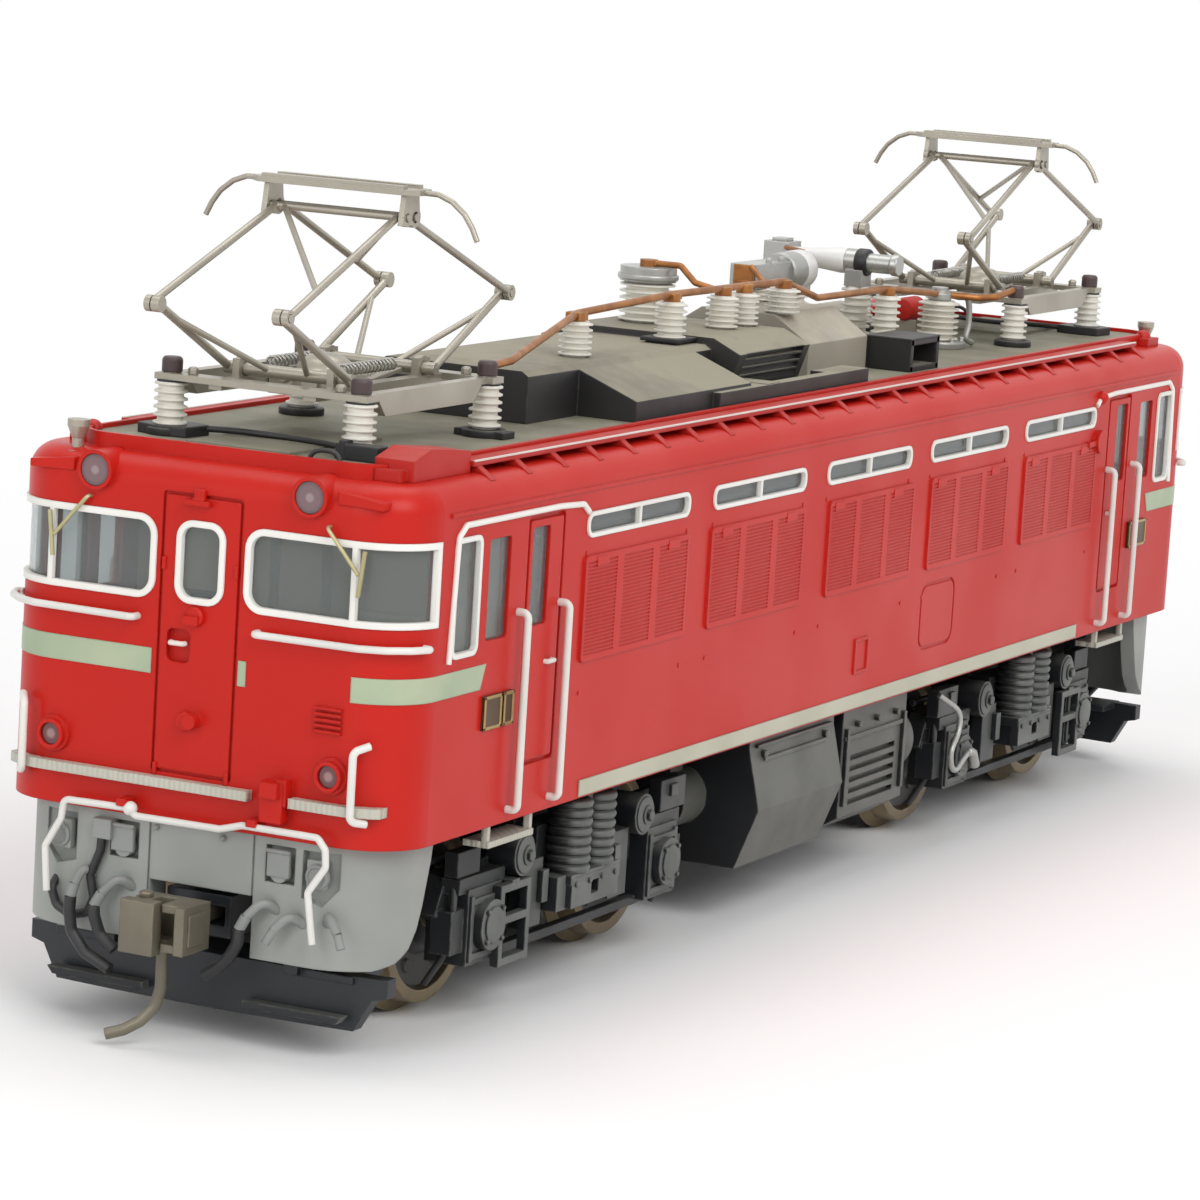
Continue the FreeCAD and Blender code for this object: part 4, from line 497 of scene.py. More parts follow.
def addSlab(shape, outline, axis, start, end):
    def point(u, v, w):
        return {"x": Vector((w, u, v)), "y": Vector((u, w, v)), "z": Vector((u, v, w))}[axis]
    addRings(shape, [[point(u, v, w) for u, v in outline] for w in (start, end)])


def turnRound(shape, verts):
    bmesh.ops.rotate(shape, verts=verts, cent=(0, 0, 0), matrix=Matrix.Rotation(math.pi, 3, "Z"))


# Pieces are laid out at the front; those of the rear end turn half round
def turnForRear(shape, end):
    if end == "rear":
        turnRound(shape, shape.verts)


# Repeats everything made so far at the other end of the locomotive
def addTurned(shape):
    copy = bmesh.ops.duplicate(shape, geom=shape.verts[:] + shape.edges[:] + shape.faces[:])
    turnRound(shape, [item for item in copy["geom"] if isinstance(item, bmesh.types.BMVert)])


def newPiece(name, shape, look, body="body", bevel=0.0, sharp=38):
    bmesh.ops.recalc_face_normals(shape, faces=shape.faces)
    mesh = bpy.data.meshes.new(name)
    shape.to_mesh(mesh)
    shape.free()
    mesh.polygons.foreach_set("use_smooth", [True] * len(mesh.polygons))
    mesh.set_sharp_from_angle(angle=math.radians(sharp))
    mesh.materials.append(finish[look])
    piece = bpy.data.objects.new(name, mesh)
    bpy.context.collection.objects.link(piece)
    if bevel:
        rounding = piece.modifiers.new("rounding", "BEVEL")
        rounding.width = bevel * mm
        rounding.segments = 2
        rounding.limit_method = "ANGLE"
        rounding.harden_normals = True
    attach(piece, body)
    return piece


# Painted stripes that wrap the cab corners at waist height
stripe = dict(low=27.6, high=29.5, lift=0.06, sunk=0.1, front=83.5, half=17.5, corner=5.0,
              sideEnd=-71.5, slant=0.8)


def stripePath(start, side):
    centreX, centreY = -stripe["front"] + stripe["corner"], stripe["half"] - stripe["corner"]
    path = [((-stripe["front"], y * side), (-1, 0)) for y in (start, centreY)]
    for step in range(1, 12):
        angle = math.pi / 2 * step / 12
        out = (-math.cos(angle), math.sin(angle) * side)
        path.append(((centreX + out[0] * stripe["corner"], centreY * side + out[1] * stripe["corner"]), out))
    path += [((x, stripe["half"] * side), (0, side)) for x in (centreX, stripe["sideEnd"])]
    return path


def addStripe(shape, path, slant=0.0):
    rings = []
    for k, ((x, y), out) in enumerate(path):
        shift = slant if k == len(path) - 1 else 0.0
        low, high = (stripe["low"], 0.0), (stripe["high"], shift)
        face, back = stripe["lift"], -stripe["sunk"]
        rings.append([Vector((x + out[0] * lift + move, y + out[1] * lift, height))
                      for lift, (height, move) in ((face, low), (face, high), (back, high), (back, low))])
    addRings(shape, rings)


def makeStripes():
    shape = bmesh.new()
    addStripe(shape, stripePath(3.85, 1), stripe["slant"])
    addStripe(shape, stripePath(14.4, -1)[2:], stripe["slant"])
    addStripe(shape, [((-stripe["front"], -3.62), (-1, 0)), ((-stripe["front"], -4.3), (-1, 0))])
    addTurned(shape)
    newPiece("waistStripes", shape, "stripeCream")


makeStripes()


# White line along the outer edge of each running board
boardLine = dict(length=140.8, y=15.38, z=44.5, width=0.22, height=0.14)


def makeBoardLines():
    shape = bmesh.new()
    for side in sides:
        addBlock(shape, (0, side * boardLine["y"], boardLine["z"]),
                 (boardLine["length"], boardLine["width"], boardLine["height"]))
    newPiece("boardEdgeLines", shape, "edgeWhite", bevel=0.03)


makeBoardLines()


# Raised rims round the blank plates beside the cab doors
plateRim = dict(places=((69.6, 2.8), (67.05, 1.6)), low=24.4, high=27.0, y=17.72, width=0.26, depth=0.2)


def makePlateRims():
    shape = bmesh.new()
    middle = (plateRim["low"] + plateRim["high"]) / 2
    for side in sides:
        for end in sides:
            for x, wide in plateRim["places"]:
                y = side * plateRim["y"]
                for z in (plateRim["low"] + 0.13, plateRim["high"] - 0.13):
                    addBlock(shape, (end * x, y, z), (wide, plateRim["depth"], plateRim["width"]))
                for shift in (-wide / 2 + 0.13, wide / 2 - 0.13):
                    addBlock(shape, (end * x + shift, y, middle),
                             (plateRim["width"], plateRim["depth"], plateRim["high"] - plateRim["low"]))
    newPiece("plateRims", shape, "rimBrass", bevel=0.04)


makePlateRims()


# Door handles, white at the end door and on the side doors
handles = dict(latchX=-83.72, latchY=(1.05, 2.25), latchZ=30.15, knobX=(-61.0, -59.9), knobY=17.78,
               knobZ=28.5, radius=0.2)


def makeHandles():
    shape = bmesh.new()
    low, high = handles["latchY"]
    x, z, radius = handles["latchX"], handles["latchZ"], handles["radius"]
    addTube(shape, ((x + 0.35, low, z), (x, low + 0.05, z), (x, high - 0.05, z), (x + 0.35, high, z)), radius)
    addTurned(shape)
    z = handles["knobZ"]
    for side in sides:
        y = side * handles["knobY"]
        for end in sides:
            x0, x1 = (end * -place for place in handles["knobX"])
            addTube(shape, ((x0, y - side * 0.4, z), (x0, y, z), (x1, y, z), (x1, y - side * 0.4, z)), radius)
    newPiece("doorHandles", shape, "edgeWhite")


makeHandles()


# Catches, hinges, lamp brackets and corner footholds cast on the cab fronts
frontTrim = dict(face=-83.5, bracket=((11.3, 43.0), (15.2, 42.5), (15.2, 41.9), (11.3, 42.0)))


def makeFrontTrim():
    shape = bmesh.new()
    face = frontTrim["face"]
    for y, z in ((0.6, 24.4), (0.15, 32.3)):
        addLathe(shape, ((0.75, 0.1), (0.75, -0.35), (0.62, -0.5), (0.02, -0.52)), (face, y, z), "x", 18)
    addBlock(shape, (face - 0.15, 0.2, 41.35), (0.5, 0.9, 0.9))
    addTube(shape, ((face - 0.35, -0.3, 41.0), (face - 0.35, 0.7, 41.0)), 0.22, 8)
    for side in sides:
        addSlab(shape, [(side * y, z) for y, z in frontTrim["bracket"]], "x", -83.6, -82.4)
        for z in (20.5, 36.0):
            addBlock(shape, (face - 0.06, side * 3.1, z), (0.24, 0.35, 1.0))
    addTurned(shape)
    newPiece("cabFrontTrim", shape, "shellRed", bevel=0.08)


makeFrontTrim()


# Small filler plates at the head of every louvre panel, with corner screws
panelTrim = dict(centres=(-45.8, -22.9, 0.0, 22.9, 45.8), y=17.66, z=35.45, screwY=17.45)


def makePanelTrim():
    shape = bmesh.new()
    for side in sides:
        for centre in panelTrim["centres"]:
            for shift in (-6.4, 6.4):
                addBlock(shape, (centre + shift, side * panelTrim["y"], panelTrim["z"]), (2.0, 0.14, 0.8))
            for cornerX in (-9.0, 9.0):
                for z in (25.2, 36.2):
                    addStud(shape, (centre + cornerX, side * panelTrim["screwY"], z), side,
                            ((0.2, 0), (0.2, 0.09), (0.08, 0.13)), 8)
    newPiece("panelTrim", shape, "shellRed")


makePanelTrim()
print("body trim made")


# Cable, hoop and plug boxes at the front of the roof deck
roofLead = dict(
    pad=((-76.6, 6.0), (-73.6, 5.7), (-73.0, 7.0), (-73.2, 10.2), (-76.2, 10.5), (-77.0, 8.4)),
    cable=((-73.8, 6.4, 44.9), (-73.2, 3.4, 44.95), (-72.6, -0.6, 44.85), (-73.4, -4.4, 44.85),
           (-75.6, -7.6, 45.0)),
    hoop=((-80.4, -6.9, 43.5), (-80.2, -6.9, 44.7), (-80.1, -7.5, 45.25), (-80.1, -8.8, 45.25),
          (-80.2, -9.4, 44.7), (-80.4, -9.4, 43.5)),
    cableRadius=0.26, hoopRadius=0.2,
)


def makeRoofLeads():
    shape = bmesh.new()
    addSlab(shape, roofLead["pad"], "z", 44.4, 45.2)
    addTube(shape, smoothPath(roofLead["cable"]), roofLead["cableRadius"], 10)
    addBlock(shape, (-76.6, -9.2, 45.0), (1.6, 3.6, 1.2))
    addBlock(shape, (-76.6, -8.0, 45.1), (1.9, 0.5, 1.5))
    addTube(shape, smoothPath(roofLead["hoop"]), roofLead["hoopRadius"], 8)
    addTurned(shape)
    newPiece("roofLeads", shape, "hoseBlack", bevel=0.12)


makeRoofLeads()


# Black foot sleeves and caps of the pantograph posts
postTrim = dict(across=8.2, along=(55.3, 75.3), foot=44.4, top=48.6,
                pad=((54.3, 6.2), (56.2, 6.0), (56.5, 10.5), (54.5, 10.5)))


def makePostTrim():
    foot, top = postTrim["foot"], postTrim["top"]
    posts = [(end * x, side * postTrim["across"], 0)
             for end in sides for x in postTrim["along"] for side in sides]
    shape = bmesh.new()
    for place in posts:
        addLathe(shape, ((1.79, foot), (1.82, foot + 0.1), (1.82, foot + 0.5), (1.7, foot + 0.63),
                         (1.05, foot + 0.64)), place)
        addLathe(shape, ((0.98, top - 0.42), (1.12, top - 0.36), (1.12, top - 0.02), (1.0, top)),
                 place, "z", 20)
    for end in sides:
        addSlab(shape, [(end * x, end * y) for x, y in postTrim["pad"]], "z", foot, foot + 0.55)
    newPiece("postFeetAndCaps", shape, "deepBlack", bevel=0.05)
    shape = bmesh.new()
    for place in posts:
        addLathe(shape, ((0.78, 49.15), (0.8, 49.3), (0.8, 50.1), (0.66, 50.32), (0.3, 50.36)),
                 place, "z", 20)
    newPiece("postBolts", shape, "capBrown", bevel=0.05)


makePostTrim()


# Porcelain sleeve and tank skins over the breaker, with the silver flange and earth strap
gearTrim = dict(y=3.2, drumZ=52.2, breakerX=36.0, breakerZ=52.8, stack=(47.0, -3.6), screws=2.4)


def makeWhiteGear():
    shape = bmesh.new()
    x, z = gearTrim["breakerX"], gearTrim["breakerZ"]
    addLathe(shape, ((1.2, 1.5), (1.22, 2.2), (1.06, 3.6), (0.92, 5.2), (0.84, 7.0), (0.84, 7.35)),
             (x, 0, z), "y")
    addLathe(shape, ((0.6, 26.9), (1.74, 26.9), (1.84, 27.0), (1.84, 28.8), (1.74, 29.0), (0.6, 29.05)),
             (0, gearTrim["y"], gearTrim["drumZ"]), "x", 28)
    newPiece("breakerPorcelain", shape, "whiteDrum")


makeWhiteGear()


def makeSilverGear():
    shape = bmesh.new()
    x, y = gearTrim["stack"]
    column, mast = (gearTrim["breakerX"], 0, gearTrim["breakerZ"]), (x, y, 0)
    addLathe(shape, ((2.75, 44.4), (2.8, 44.55), (2.8, 45.0), (2.6, 45.12), (2.02, 45.13)), mast, "z", 28)
    for angle in range(0, 360, 60):
        turn = math.radians(angle)
        place = (x + gearTrim["screws"] * math.cos(turn), y + gearTrim["screws"] * math.sin(turn), 0)
        addLathe(shape, ((0.26, 45.1), (0.26, 45.4), (0.16, 45.5)), place, "z", 6)
    addLathe(shape, ((1.0, 48.9), (1.15, 49.05), (1.15, 49.6), (0.8, 49.8), (0.8, 50.2)), mast, "z", 20)
    addTube(shape, smoothPath(((47.6, -3.9, 49.5), (49.2, -4.6, 49.2), (50.4, -5.2, 48.9), (50.5, -5.4, 46.6),
                               (50.0, -5.4, 45.2), (51.2, -5.6, 44.7))), 0.3, 8)
    for x in (20.0, 22.8):
        addLathe(shape, ((0.32, 53.2), (0.32, 53.6), (0.2, 53.75)), (x, 2.5, 0), "z", 8)
    addBlock(shape, (36.0, 8.4, 54.25), (1.6, 1.5, 0.3))
    addLathe(shape, ((0.96, -3.85), (1.04, -3.7), (1.04, -3.2), (0.94, -3.05)), column, "y", 24)
    addLathe(shape, ((0.6, 23.9), (1.66, 23.9), (1.8, 24.1), (1.8, 24.6), (1.78, 26.89)),
             (0, gearTrim["y"], gearTrim["drumZ"]), "x", 28)
    addLathe(shape, ((2.62, 52.95), (2.7, 53.05), (2.7, 53.35), (2.62, 53.45)), (-3.9, 3.2, 0), "z", 30)
    newPiece("breakerMetal", shape, "silverGear", bevel=0.06)


makeSilverGear()


def makeCopperTrim():
    shape = bmesh.new()
    addBlock(shape, (15.55, 2.9, 52.1), (0.35, 2.0, 2.4))
    addTube(shape, ((15.5, 2.2, 53.2), (14.3, 0.2, 51.9)), 0.26, 8)
    addBlock(shape, (-31.1, -3.6, 51.95), (1.7, 1.3, 0.7))
    addBlock(shape, (-13.1, -3.6, 52.6), (1.6, 1.2, 0.5))
    addTube(shape, ((30.0, 3.2, 52.9), (32.0, 4.4, 53.6), (34.6, 7.4, 53.6)), 0.24, 8)
    newPiece("copperTrim", shape, "copperBar", bevel=0.05)


makeCopperTrim()


def makeDarkGear():
    shape = bmesh.new()
    addLathe(shape, ((1.22, -0.75), (1.3, -0.6), (1.3, 0.3), (1.22, 0.45)), (36.0, 0.0, 52.8), "y", 24)
    addBlock(shape, (36.0, 0.4, 50.9), (1.7, 1.5, 0.9))
    addBlock(shape, (-13.1, -3.6, 48.95), (4.2, 3.6, 0.35))
    for x, y in ((34.0, -3.6), (36.0, 8.4), (36.0, 0.4)):
        addLathe(shape, ((1.5, 44.4), (1.6, 44.5), (1.6, 44.8), (1.4, 44.86)), (x, y, 0), "z", 20)
    newPiece("breakerClamps", shape, "deepBlack", bevel=0.06)


makeDarkGear()


# The small red reservoir on the roof and its cradle
reservoir = dict(x=(50.4, 53.6), y=1.5, z=47.35, radius=1.15)


def makeReservoir():
    shape = bmesh.new()
    x0, x1 = reservoir["x"]
    r = reservoir["radius"]
    addLathe(shape, ((0.3, x0 - 0.25), (0.85 * r, x0 - 0.12), (r, x0 + 0.25), (r, x1 - 0.25),
                     (0.85 * r, x1 + 0.12), (0.3, x1 + 0.25)), (0, reservoir["y"], reservoir["z"]), "x", 26)
    newPiece("roofReservoir", shape, "boardRed")
    shape = bmesh.new()
    for x in (x0 + 0.6, x1 - 0.6):
        addBlock(shape, (x, reservoir["y"], 45.35), (0.6, 2.1, 2.0))
    addBlock(shape, (52.0, reservoir["y"], 44.6), (4.0, 2.8, 0.5))
    newPiece("reservoirCradle", shape, "boxGrey", bevel=0.06)


makeReservoir()


# Lining of the cooling air intake
intake = dict(centre=(25.3, -9.2), size=(6.6, 4.4), low=44.4, high=47.4, skin=0.08)


def makeIntake():
    shape = bmesh.new()
    x, y = intake["centre"]
    wide, deep = intake["size"]
    skin, low, high = intake["skin"], intake["low"], intake["high"]
    middle, tall, mouth = (low + high) / 2, high - low, y - deep / 2
    addBlock(shape, (x, y + deep / 2, middle), (wide + 2 * skin, 2 * skin, tall))
    for side in sides:
        addBlock(shape, (x + side * wide / 2, y, middle), (2 * skin, deep + skin, tall))
        addBlock(shape, (x + side * (wide / 2 - 0.3), mouth, middle), (0.62, 0.12, tall))
    addBlock(shape, (x, y, high), (wide + 2 * skin, deep + 2 * skin, 2 * skin))
    for z in (low + 0.25, high - 0.3):
        addBlock(shape, (x, mouth, z), (wide, 0.12, 0.56))
    newPiece("intakeCasing", shape, "intakeBlack", bevel=0.05)


makeIntake()


# Gear on each pantograph base: cover, lifting cylinder and bolts
panTrim = dict(x=-65.3, plate=49.0)


def makePanTrim():
    shape = bmesh.new()
    x, z = panTrim["x"], panTrim["plate"]
    addLathe(shape, ((2.3, 0), (2.3, 0.5), (2.05, 1.1), (1.4, 1.6), (0.5, 1.85)), (x - 1.0, 0.0, z), "z", 28)
    addBlock(shape, (x + 3.4, -1.4, z + 0.1), (4.6, 3.2, 0.35), Matrix.Rotation(math.radians(-7), 3, "Y"))
    addTube(shape, ((x + 0.4, 2.7, z + 0.5), (x + 5.6, 2.7, z + 0.5)), 0.55, 14)
    addTube(shape, ((x - 2.0, 2.7, z + 0.5), (x + 0.5, 2.7, z + 0.5)), 0.2, 8)
    for end in sides:
        for side in sides:
            place = (x + end * 9.9, side * 6.4, z + 0.1)
            addLathe(shape, ((0.42, 0), (0.42, 0.45), (0.26, 0.6)), place, "z", 6)
    addTurned(shape)
    newPiece("pantographFittings", shape, "silverArm", bevel=0.06)


makePanTrim()


# Lift springs and their hooks, one pair on each base
def makePanSprings():
    shape = bmesh.new()
    x = panTrim["x"]
    for side in sides:
        coil = []
        for step in range(0, 14 * 10 + 1):
            angle = 2 * math.pi * step / 10
            coil.append((x - 4.0 + 8.0 * step / 140, side * 3.1 + 0.42 * math.cos(angle),
                         50.0 + 0.42 * math.sin(angle)))
        addTube(shape, coil, 0.11, 6)
    addTurned(shape)
    newPiece("pantographSprings", shape, "shaftSteel")


makePanSprings()
print("roof trim made")


# Dark faces on the wheels, leaving the bright tyre; they turn with each wheelset
wheelFace = dict(axle=7.9, inner=9.35, outer=9.62, centre=47.5, offset=15.625, studs=4.4)


def makeWheelFaces():
    for end, sign in zip(ends, (-1, 1)):
        for place, shift in (("outer", 1), ("inner", -1)):
            shape = bmesh.new()
            x = sign * (wheelFace["centre"] + shift * wheelFace["offset"])
            for side in sides:
                inner, outer = side * wheelFace["inner"], side * wheelFace["outer"]
                profile = ((5.72, inner - side * 0.25), (5.72, inner), (3.3, inner - side * 0.16),
                           (2.9, outer), (2.6, outer + side * 0.1), (1.1, outer + side * 0.1))
                addLathe(shape, profile, (x, 0, wheelFace["axle"]), "y", 40)
                for step in range(6):
                    angle = math.pi * step / 3
                    spot = (x + wheelFace["studs"] * math.cos(angle), inner,
                            wheelFace["axle"] + wheelFace["studs"] * math.sin(angle))
                    addStud(shape, spot, side, ((0.55, -0.3), (0.55, 0.1), (0.3, 0.12)), 10)
            newPiece(f"{end}{place.capitalize()}WheelFaces", shape, "wheelDisc", f"{end}_{place}_wheelset")


makeWheelFaces()


# Castings on the bogie side frames
bogieTrim = dict(x=-47.5, axle=15.625, face=15.6,
                 pipe=((3.2, 13.6, 11.6), (3.9, 14.0, 9.6), (3.6, 13.4, 6.2), (4.2, 12.0, 3.4)))


def makeBogieTrim():
    for end in ends:
        shape = bmesh.new()
        xb, away = bogieTrim["x"], bogieTrim["axle"]
        for side in sides:
            for shift in (-1, 1):
                x = xb + shift * away
                y = side * bogieTrim["face"]
                addStud(shape, (x, y, 7.9), side, ((1.45, -0.2), (1.45, 0.18), (0.9, 0.3), (0.5, 0.3)), 20)
                for corner in (45, 135, 225, 315):
                    turn = math.radians(corner)
                    addStud(shape, (x + 1.68 * math.cos(turn), y, 7.9 + 1.68 * math.sin(turn)), side,
                            ((0.24, -0.15), (0.24, 0.25), (0.15, 0.32)))
                for z in (5.6, 9.9):
                    addBlock(shape, (x, side * 14.8, z), (4.4, 0.35, 0.5))
                for edge in (-2.3, 2.3):
                    addBlock(shape, (x + edge, side * 14.75, 7.8), (0.5, 0.4, 5.2))
                pipe = [(x + shift * out, side * across, z) for out, across, z in bogieTrim["pipe"]]
                addTube(shape, smoothPath(pipe), 0.3, 8)
            for shift in (-10.6, 10.6):
                place = (xb + shift, 0, 12.6)
                addStud(shape, place, side, ((1.5, 15.3), (1.5, 15.55), (1.2, 15.65)), 20)
                addStud(shape, place, side, ((0.5, 15.7), (0.5, 16.1), (0.3, 16.2)))
            addBlock(shape, (xb, side * 14.9, 13.4), (1.0, 1.4, 5.6))
            addBlock(shape, (xb - 4.6, side * 14.7, 8.6), (2.0, 2.4, 2.8))
            for x in (-6.4, 6.4):
                addBlock(shape, (xb + x, side * 15.0, 9.4), (1.0, 0.5, 2.6))
            for x in (-3.4, -1.1, 1.1, 3.4):
                addStud(shape, (xb + x, 0, 9.2), side, ((0.26, 16.3), (0.26, 16.62), (0.14, 16.68)))
            addTube(shape, ((xb - 19.6, side * 11.6, 12.9), (xb + 19.6, side * 11.6, 12.9)), 0.34, 8)
            addBlock(shape, (xb + 17.8, side * 13.9, 13.2), (4.6, 1.2, 2.6))
            addBlock(shape, (xb + 17.4, side * 14.6, 13.6), (1.2, 0.5, 1.0))
            addBlock(shape, (xb - 17.6, side * 13.6, 12.9), (3.6, 1.2, 2.0))
        turnForRear(shape, end)
        newPiece(f"{end}BogieCastings", shape, "underGrey", f"{end}_bogie", bevel=0.07)


makeBogieTrim()


# Speed sensor lead that loops below the axle box, one on each bogie
sensorLead = dict(
    wire=((-25.6, 15.2, 14.4), (-28.1, 16.2, 12.7), (-28.0, 16.4, 10.9), (-26.6, 16.4, 9.2),
          (-26.9, 16.4, 7.7), (-28.1, 16.4, 7.2), (-29.8, 16.4, 8.0), (-31.4, 16.3, 8.5)),
    plug=((-31.2, 16.3, 8.5), (-32.2, 16.3, 8.2), (-33.0, 16.3, 6.9)),
    wireRadius=0.28, plugRadius=0.5,
)


def makeSensorLeads():
    for end in ends:
        shape = bmesh.new()
        addTube(shape, smoothPath(sensorLead["wire"]), sensorLead["wireRadius"], 8)
        addTube(shape, sensorLead["plug"], sensorLead["plugRadius"])
        turnForRear(shape, end)
        newPiece(f"{end}SensorLead", shape, "silverGear", f"{end}_bogie")


makeSensorLeads()


# Ribs, catches, drain plugs and pipes on the boxes between the bogies
tankTrim = dict(y=16.2)


def makeTankTrim():
    shape = bmesh.new()
    for side in sides:
        y = side * tankTrim["y"]
        for z in (15.6, 9.9):
            addBlock(shape, (-9.4, y, z), (15.6, 0.35, 0.28))
        for x in (-15.8, -3.0):
            addBlock(shape, (x, y, 12.8), (0.5, 0.45, 0.9))
            addStud(shape, (x, y, 14.8), side, ((0.38, -0.2), (0.38, 0.35), (0.2, 0.42)), 8)
        for x in (2.2, 15.0):
            addBlock(shape, (x, y, 11.0), (0.5, 0.4, 7.0))
        for x in (4.4, 8.7, 13.0):
            addStud(shape, (x, y, 14.7), side, ((0.3, -0.2), (0.3, 0.3), (0.16, 0.36)))
        addTube(shape, ((-26.0, side * 12.6, 15.6), (20.0, side * 12.6, 15.6)), 0.3, 8)
    newPiece("tankTrim", shape, "tankGrey", bevel=0.05)


makeTankTrim()
print("running gear trim made")


# Socket lids, hinge pins and bolts on the end pilots
pilotTrim = dict(face=-83.42)


def makePilotTrim():
    shape = bmesh.new()
    x = pilotTrim["face"]
    for y in (-7.9, 5.6):
        addBlock(shape, (x, y, 14.7), (0.35, 1.9, 1.8))
        addTube(shape, ((x - 0.15, y - 1.0, 15.75), (x - 0.15, y + 1.0, 15.75)), 0.18, 8)
    for y in (-11.2, 11.2):
        addLathe(shape, ((0.95, 0.2), (0.95, -0.3), (0.7, -0.4), (0.7, -0.25), (0.3, -0.25)),
                 (x + 0.1, y, 14.3), "x", 20)
    for y in (-3.0, 2.8):
        addLathe(shape, ((0.24, 0.2), (0.24, -0.16), (0.14, -0.22)), (x, y, 16.0), "x", 6)
    addTurned(shape)
    newPiece("pilotTrim", shape, "cockGrey", bevel=0.05)


makePilotTrim()


# Rubbing strips low on the ploughs, and the pin head of each coupler
def makePloughTrim():
    shape = bmesh.new()
    for side in sides:
        addSlab(shape, ((side * 4.4, 3.0), (side * 12.4, 3.0), (side * 12.9, 3.6), (side * 4.4, 3.6)), "x",
                -81.75, -80.6)
    addTurned(shape)
    newPiece("ploughRibs", shape, "tankGrey", bevel=0.05)
    for end in ends:
        shape = bmesh.new()
        addLathe(shape, ((0.5, 11.35), (0.55, 11.45), (0.55, 11.75), (0.3, 11.9)), (-86.4, 1.55, 0), "z", 16)
        addBlock(shape, (-86.6, -2.95, 9.6), (2.2, 0.2, 2.4))
        turnForRear(shape, end)
        newPiece(f"{end}CouplerTrim", shape, "couplerBronze", f"{end}_coupler", bevel=0.04)


makePloughTrim()


# Cab fittings: dark seats and desks with plain dials
def makeCabTrim():
    shape = bmesh.new()
    for y, z in ((-8.8, 26.3), (8.8, 26.3)):
        addBlock(shape, (-71.8, y, z), (4.0, 5.6, 0.5))
        addBlock(shape, (-69.5, y, z + 3.0), (0.5, 5.2, 5.0))
    addBlock(shape, (-79.0, -8.8, 30.7), (4.6, 8.6, 0.5), Matrix.Rotation(math.radians(12), 3, "Y"))
    addTurned(shape)
    newPiece("cabSeats", shape, "cabDark", bevel=0.25)
    shape = bmesh.new()
    for y in (-11.6, -9.7, -7.8, -5.9):
        addLathe(shape, ((0.75, 0), (0.75, 0.35), (0.6, 0.42)), (-78.4, y, 30.9), "z", 18)
    for y in (-13.6, -1.2, 3.4, 12.4):
        addBlock(shape, (-66.48, y, 29.8), (0.22, 0.8, 18.6))
    addTurned(shape)
    newPiece("cabTrim", shape, "cabGreen", bevel=0.05)


makeCabTrim()
print("end and cab trim made")


def seenRay(tree):
    path = tree.nodes.new("ShaderNodeLightPath")
    seen = mathNode(tree, "MAXIMUM", path.outputs["Is Camera Ray"], path.outputs["Is Glossy Ray"])
    return mathNode(tree, "MAXIMUM", seen, path.outputs["Is Transmission Ray"])


white = (1, 1, 1, 1)
studio = dict(
    ambient=0.42,
    keyPlace=(-0.5, -0.8, 0.75), keySize=(0.7, 0.7), keyPower=7.0,
    fillPlace=(-1.1, 0.15, 0.45), fillSize=(0.7, 0.6), fillPower=3.2,
    topPlace=(0.15, 0.15, 1.0), topSize=(1.0, 0.6), topPower=4.0,
    floorReach=4.0, shadowFrom=0.1, shadowTo=0.26,
)


def buildWorld():
    world = bpy.data.worlds.new("studio")
    bpy.context.scene.world = world
    world.use_nodes = True
    tree = world.node_tree
    tree.nodes.clear()
    bright, soft = (setInputs(tree.nodes.new("ShaderNodeBackground"), {"Strength": strength, "Color": white})
                    for strength in (1.0, studio["ambient"]))
    mix = tree.nodes.new("ShaderNodeMixShader")
    output = tree.nodes.new("ShaderNodeOutputWorld")
    tree.links.new(seenRay(tree), mix.inputs[0])
    tree.links.new(soft.outputs[0], mix.inputs[1])
    tree.links.new(bright.outputs[0], mix.inputs[2])
    tree.links.new(mix.outputs[0], output.inputs[0])


def areaLamp(name, place, target, size, watts):
    lamp = bpy.data.lights.new(name, "AREA")
    lamp.shape = "RECTANGLE"
    lamp.size, lamp.size_y = size
    lamp.energy = watts
    holder = bpy.data.objects.new(name, lamp)
    holder.location = place
    holder.rotation_euler = (Vector(target) - Vector(place)).to_track_quat("-Z", "Y").to_euler()
    bpy.context.collection.objects.link(holder)


buildWorld()
for lampName in ("key", "fill", "top"):
    areaLamp(lampName + "Lamp", studio[lampName + "Place"], (0, 0, 0.03), studio[lampName + "Size"],
             studio[lampName + "Power"])


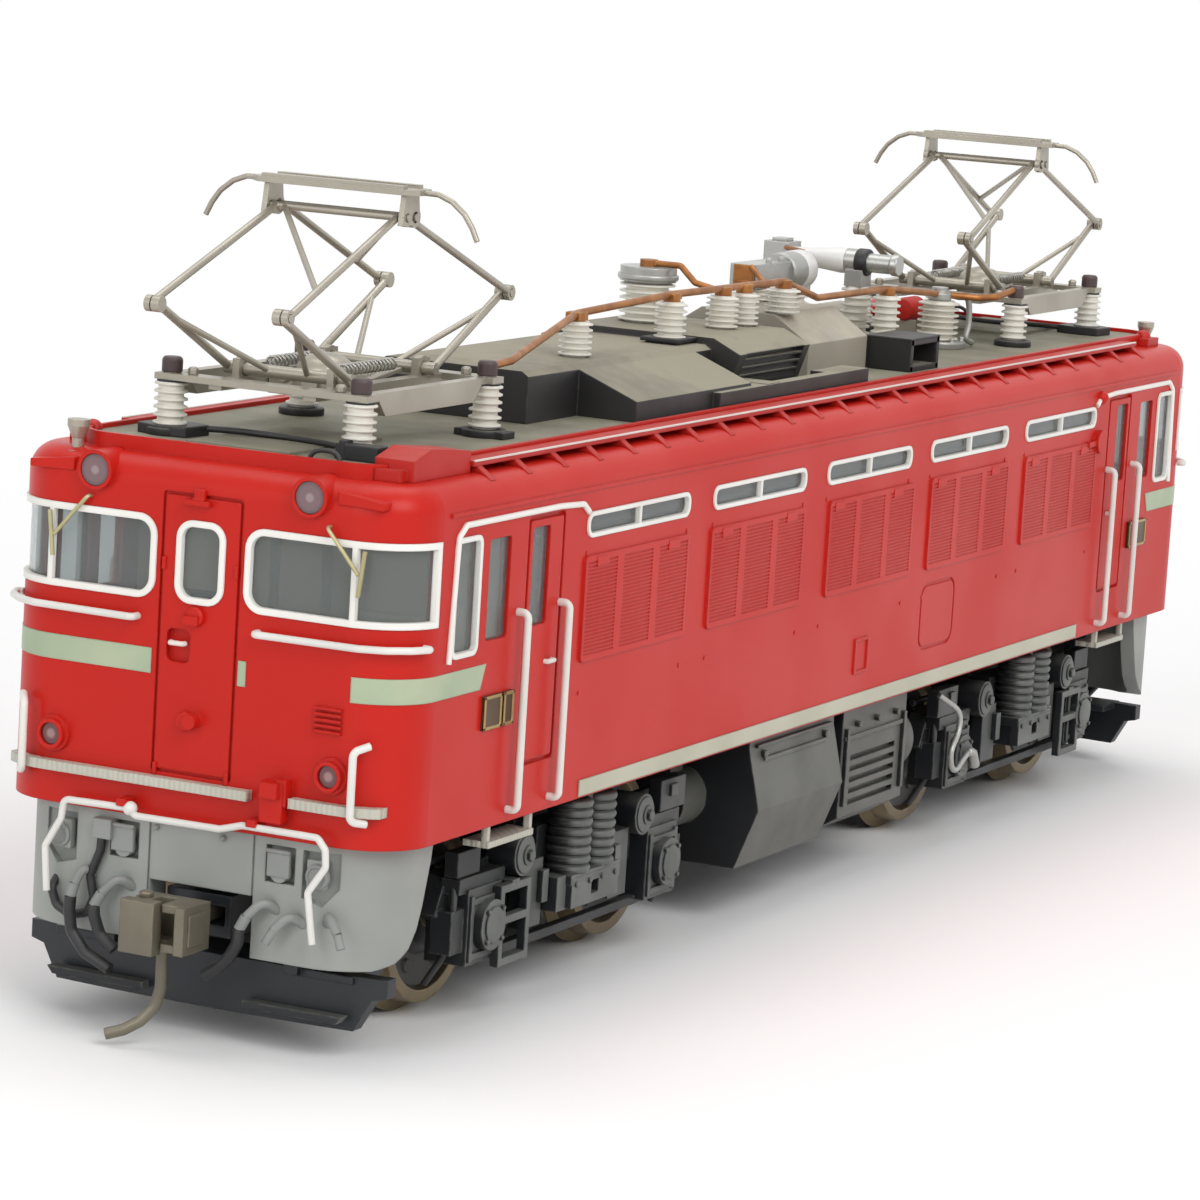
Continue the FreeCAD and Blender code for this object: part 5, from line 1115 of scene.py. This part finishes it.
def buildFloor():
    reach = studio["floorReach"]
    mesh = bpy.data.meshes.new("floor")
    corners = [(-reach, -reach, 0), (reach, -reach, 0), (reach, reach, 0), (-reach, reach, 0)]
    mesh.from_pydata(corners, [], [(0, 1, 2, 3)])
    plane = bpy.data.objects.new("floor", mesh)
    bpy.context.collection.objects.link(plane)
    material = bpy.data.materials.new("floorPale")
    material.use_nodes = True
    tree = material.node_tree
    shader = tree.nodes["Principled BSDF"]
    setInputs(shader, {"Base Color": (0.96, 0.96, 0.96, 1), "Roughness": 0.9, "Specular IOR Level": 0.1})
    glow = setInputs(tree.nodes.new("ShaderNodeEmission"), {"Color": white, "Strength": 1.0})
    coords = tree.nodes.new("ShaderNodeTexCoord")
    length = tree.nodes.new("ShaderNodeVectorMath")
    length.operation = "LENGTH"
    tree.links.new(coords.outputs["Object"], length.inputs[0])
    far = spread(tree, length.outputs["Value"], studio["shadowFrom"], studio["shadowTo"])
    mix = tree.nodes.new("ShaderNodeMixShader")
    tree.links.new(mathNode(tree, "MULTIPLY", far, seenRay(tree)), mix.inputs[0])
    tree.links.new(shader.outputs[0], mix.inputs[1])
    tree.links.new(glow.outputs[0], mix.inputs[2])
    tree.links.new(mix.outputs[0], tree.nodes["Material Output"].inputs["Surface"])
    mesh.materials.append(material)


def placeCamera(view):
    camera = bpy.data.cameras.new("camera")
    camera.lens = view["lens"]
    camera.sensor_width = 36.0
    camera.clip_start = 0.01
    holder = bpy.data.objects.new("camera", camera)
    azimuth, elevation, roll = (math.radians(view[k]) for k in ("azimuth", "elevation", "roll"))
    back = Vector((math.sin(azimuth) * math.cos(elevation), -math.cos(azimuth) * math.cos(elevation),
                   math.sin(elevation)))
    right = Vector((0, 0, 1)).cross(back).normalized()
    up = back.cross(right)
    across = right * math.cos(roll) + up * math.sin(roll)
    above = -right * math.sin(roll) + up * math.cos(roll)
    turn = Matrix((across, above, back)).transposed().to_4x4()
    holder.matrix_world = Matrix.Translation(at(*view["eye"])) @ turn
    bpy.context.collection.objects.link(holder)
    bpy.context.scene.camera = holder


buildFloor()
placeCamera(dict(eye=(-394.1, -184.55, 90.81), azimuth=-63.977, elevation=8.745, roll=3.543, lens=148.07))
bpy.context.scene.view_settings.view_transform = "Standard"
print("studio and camera set")
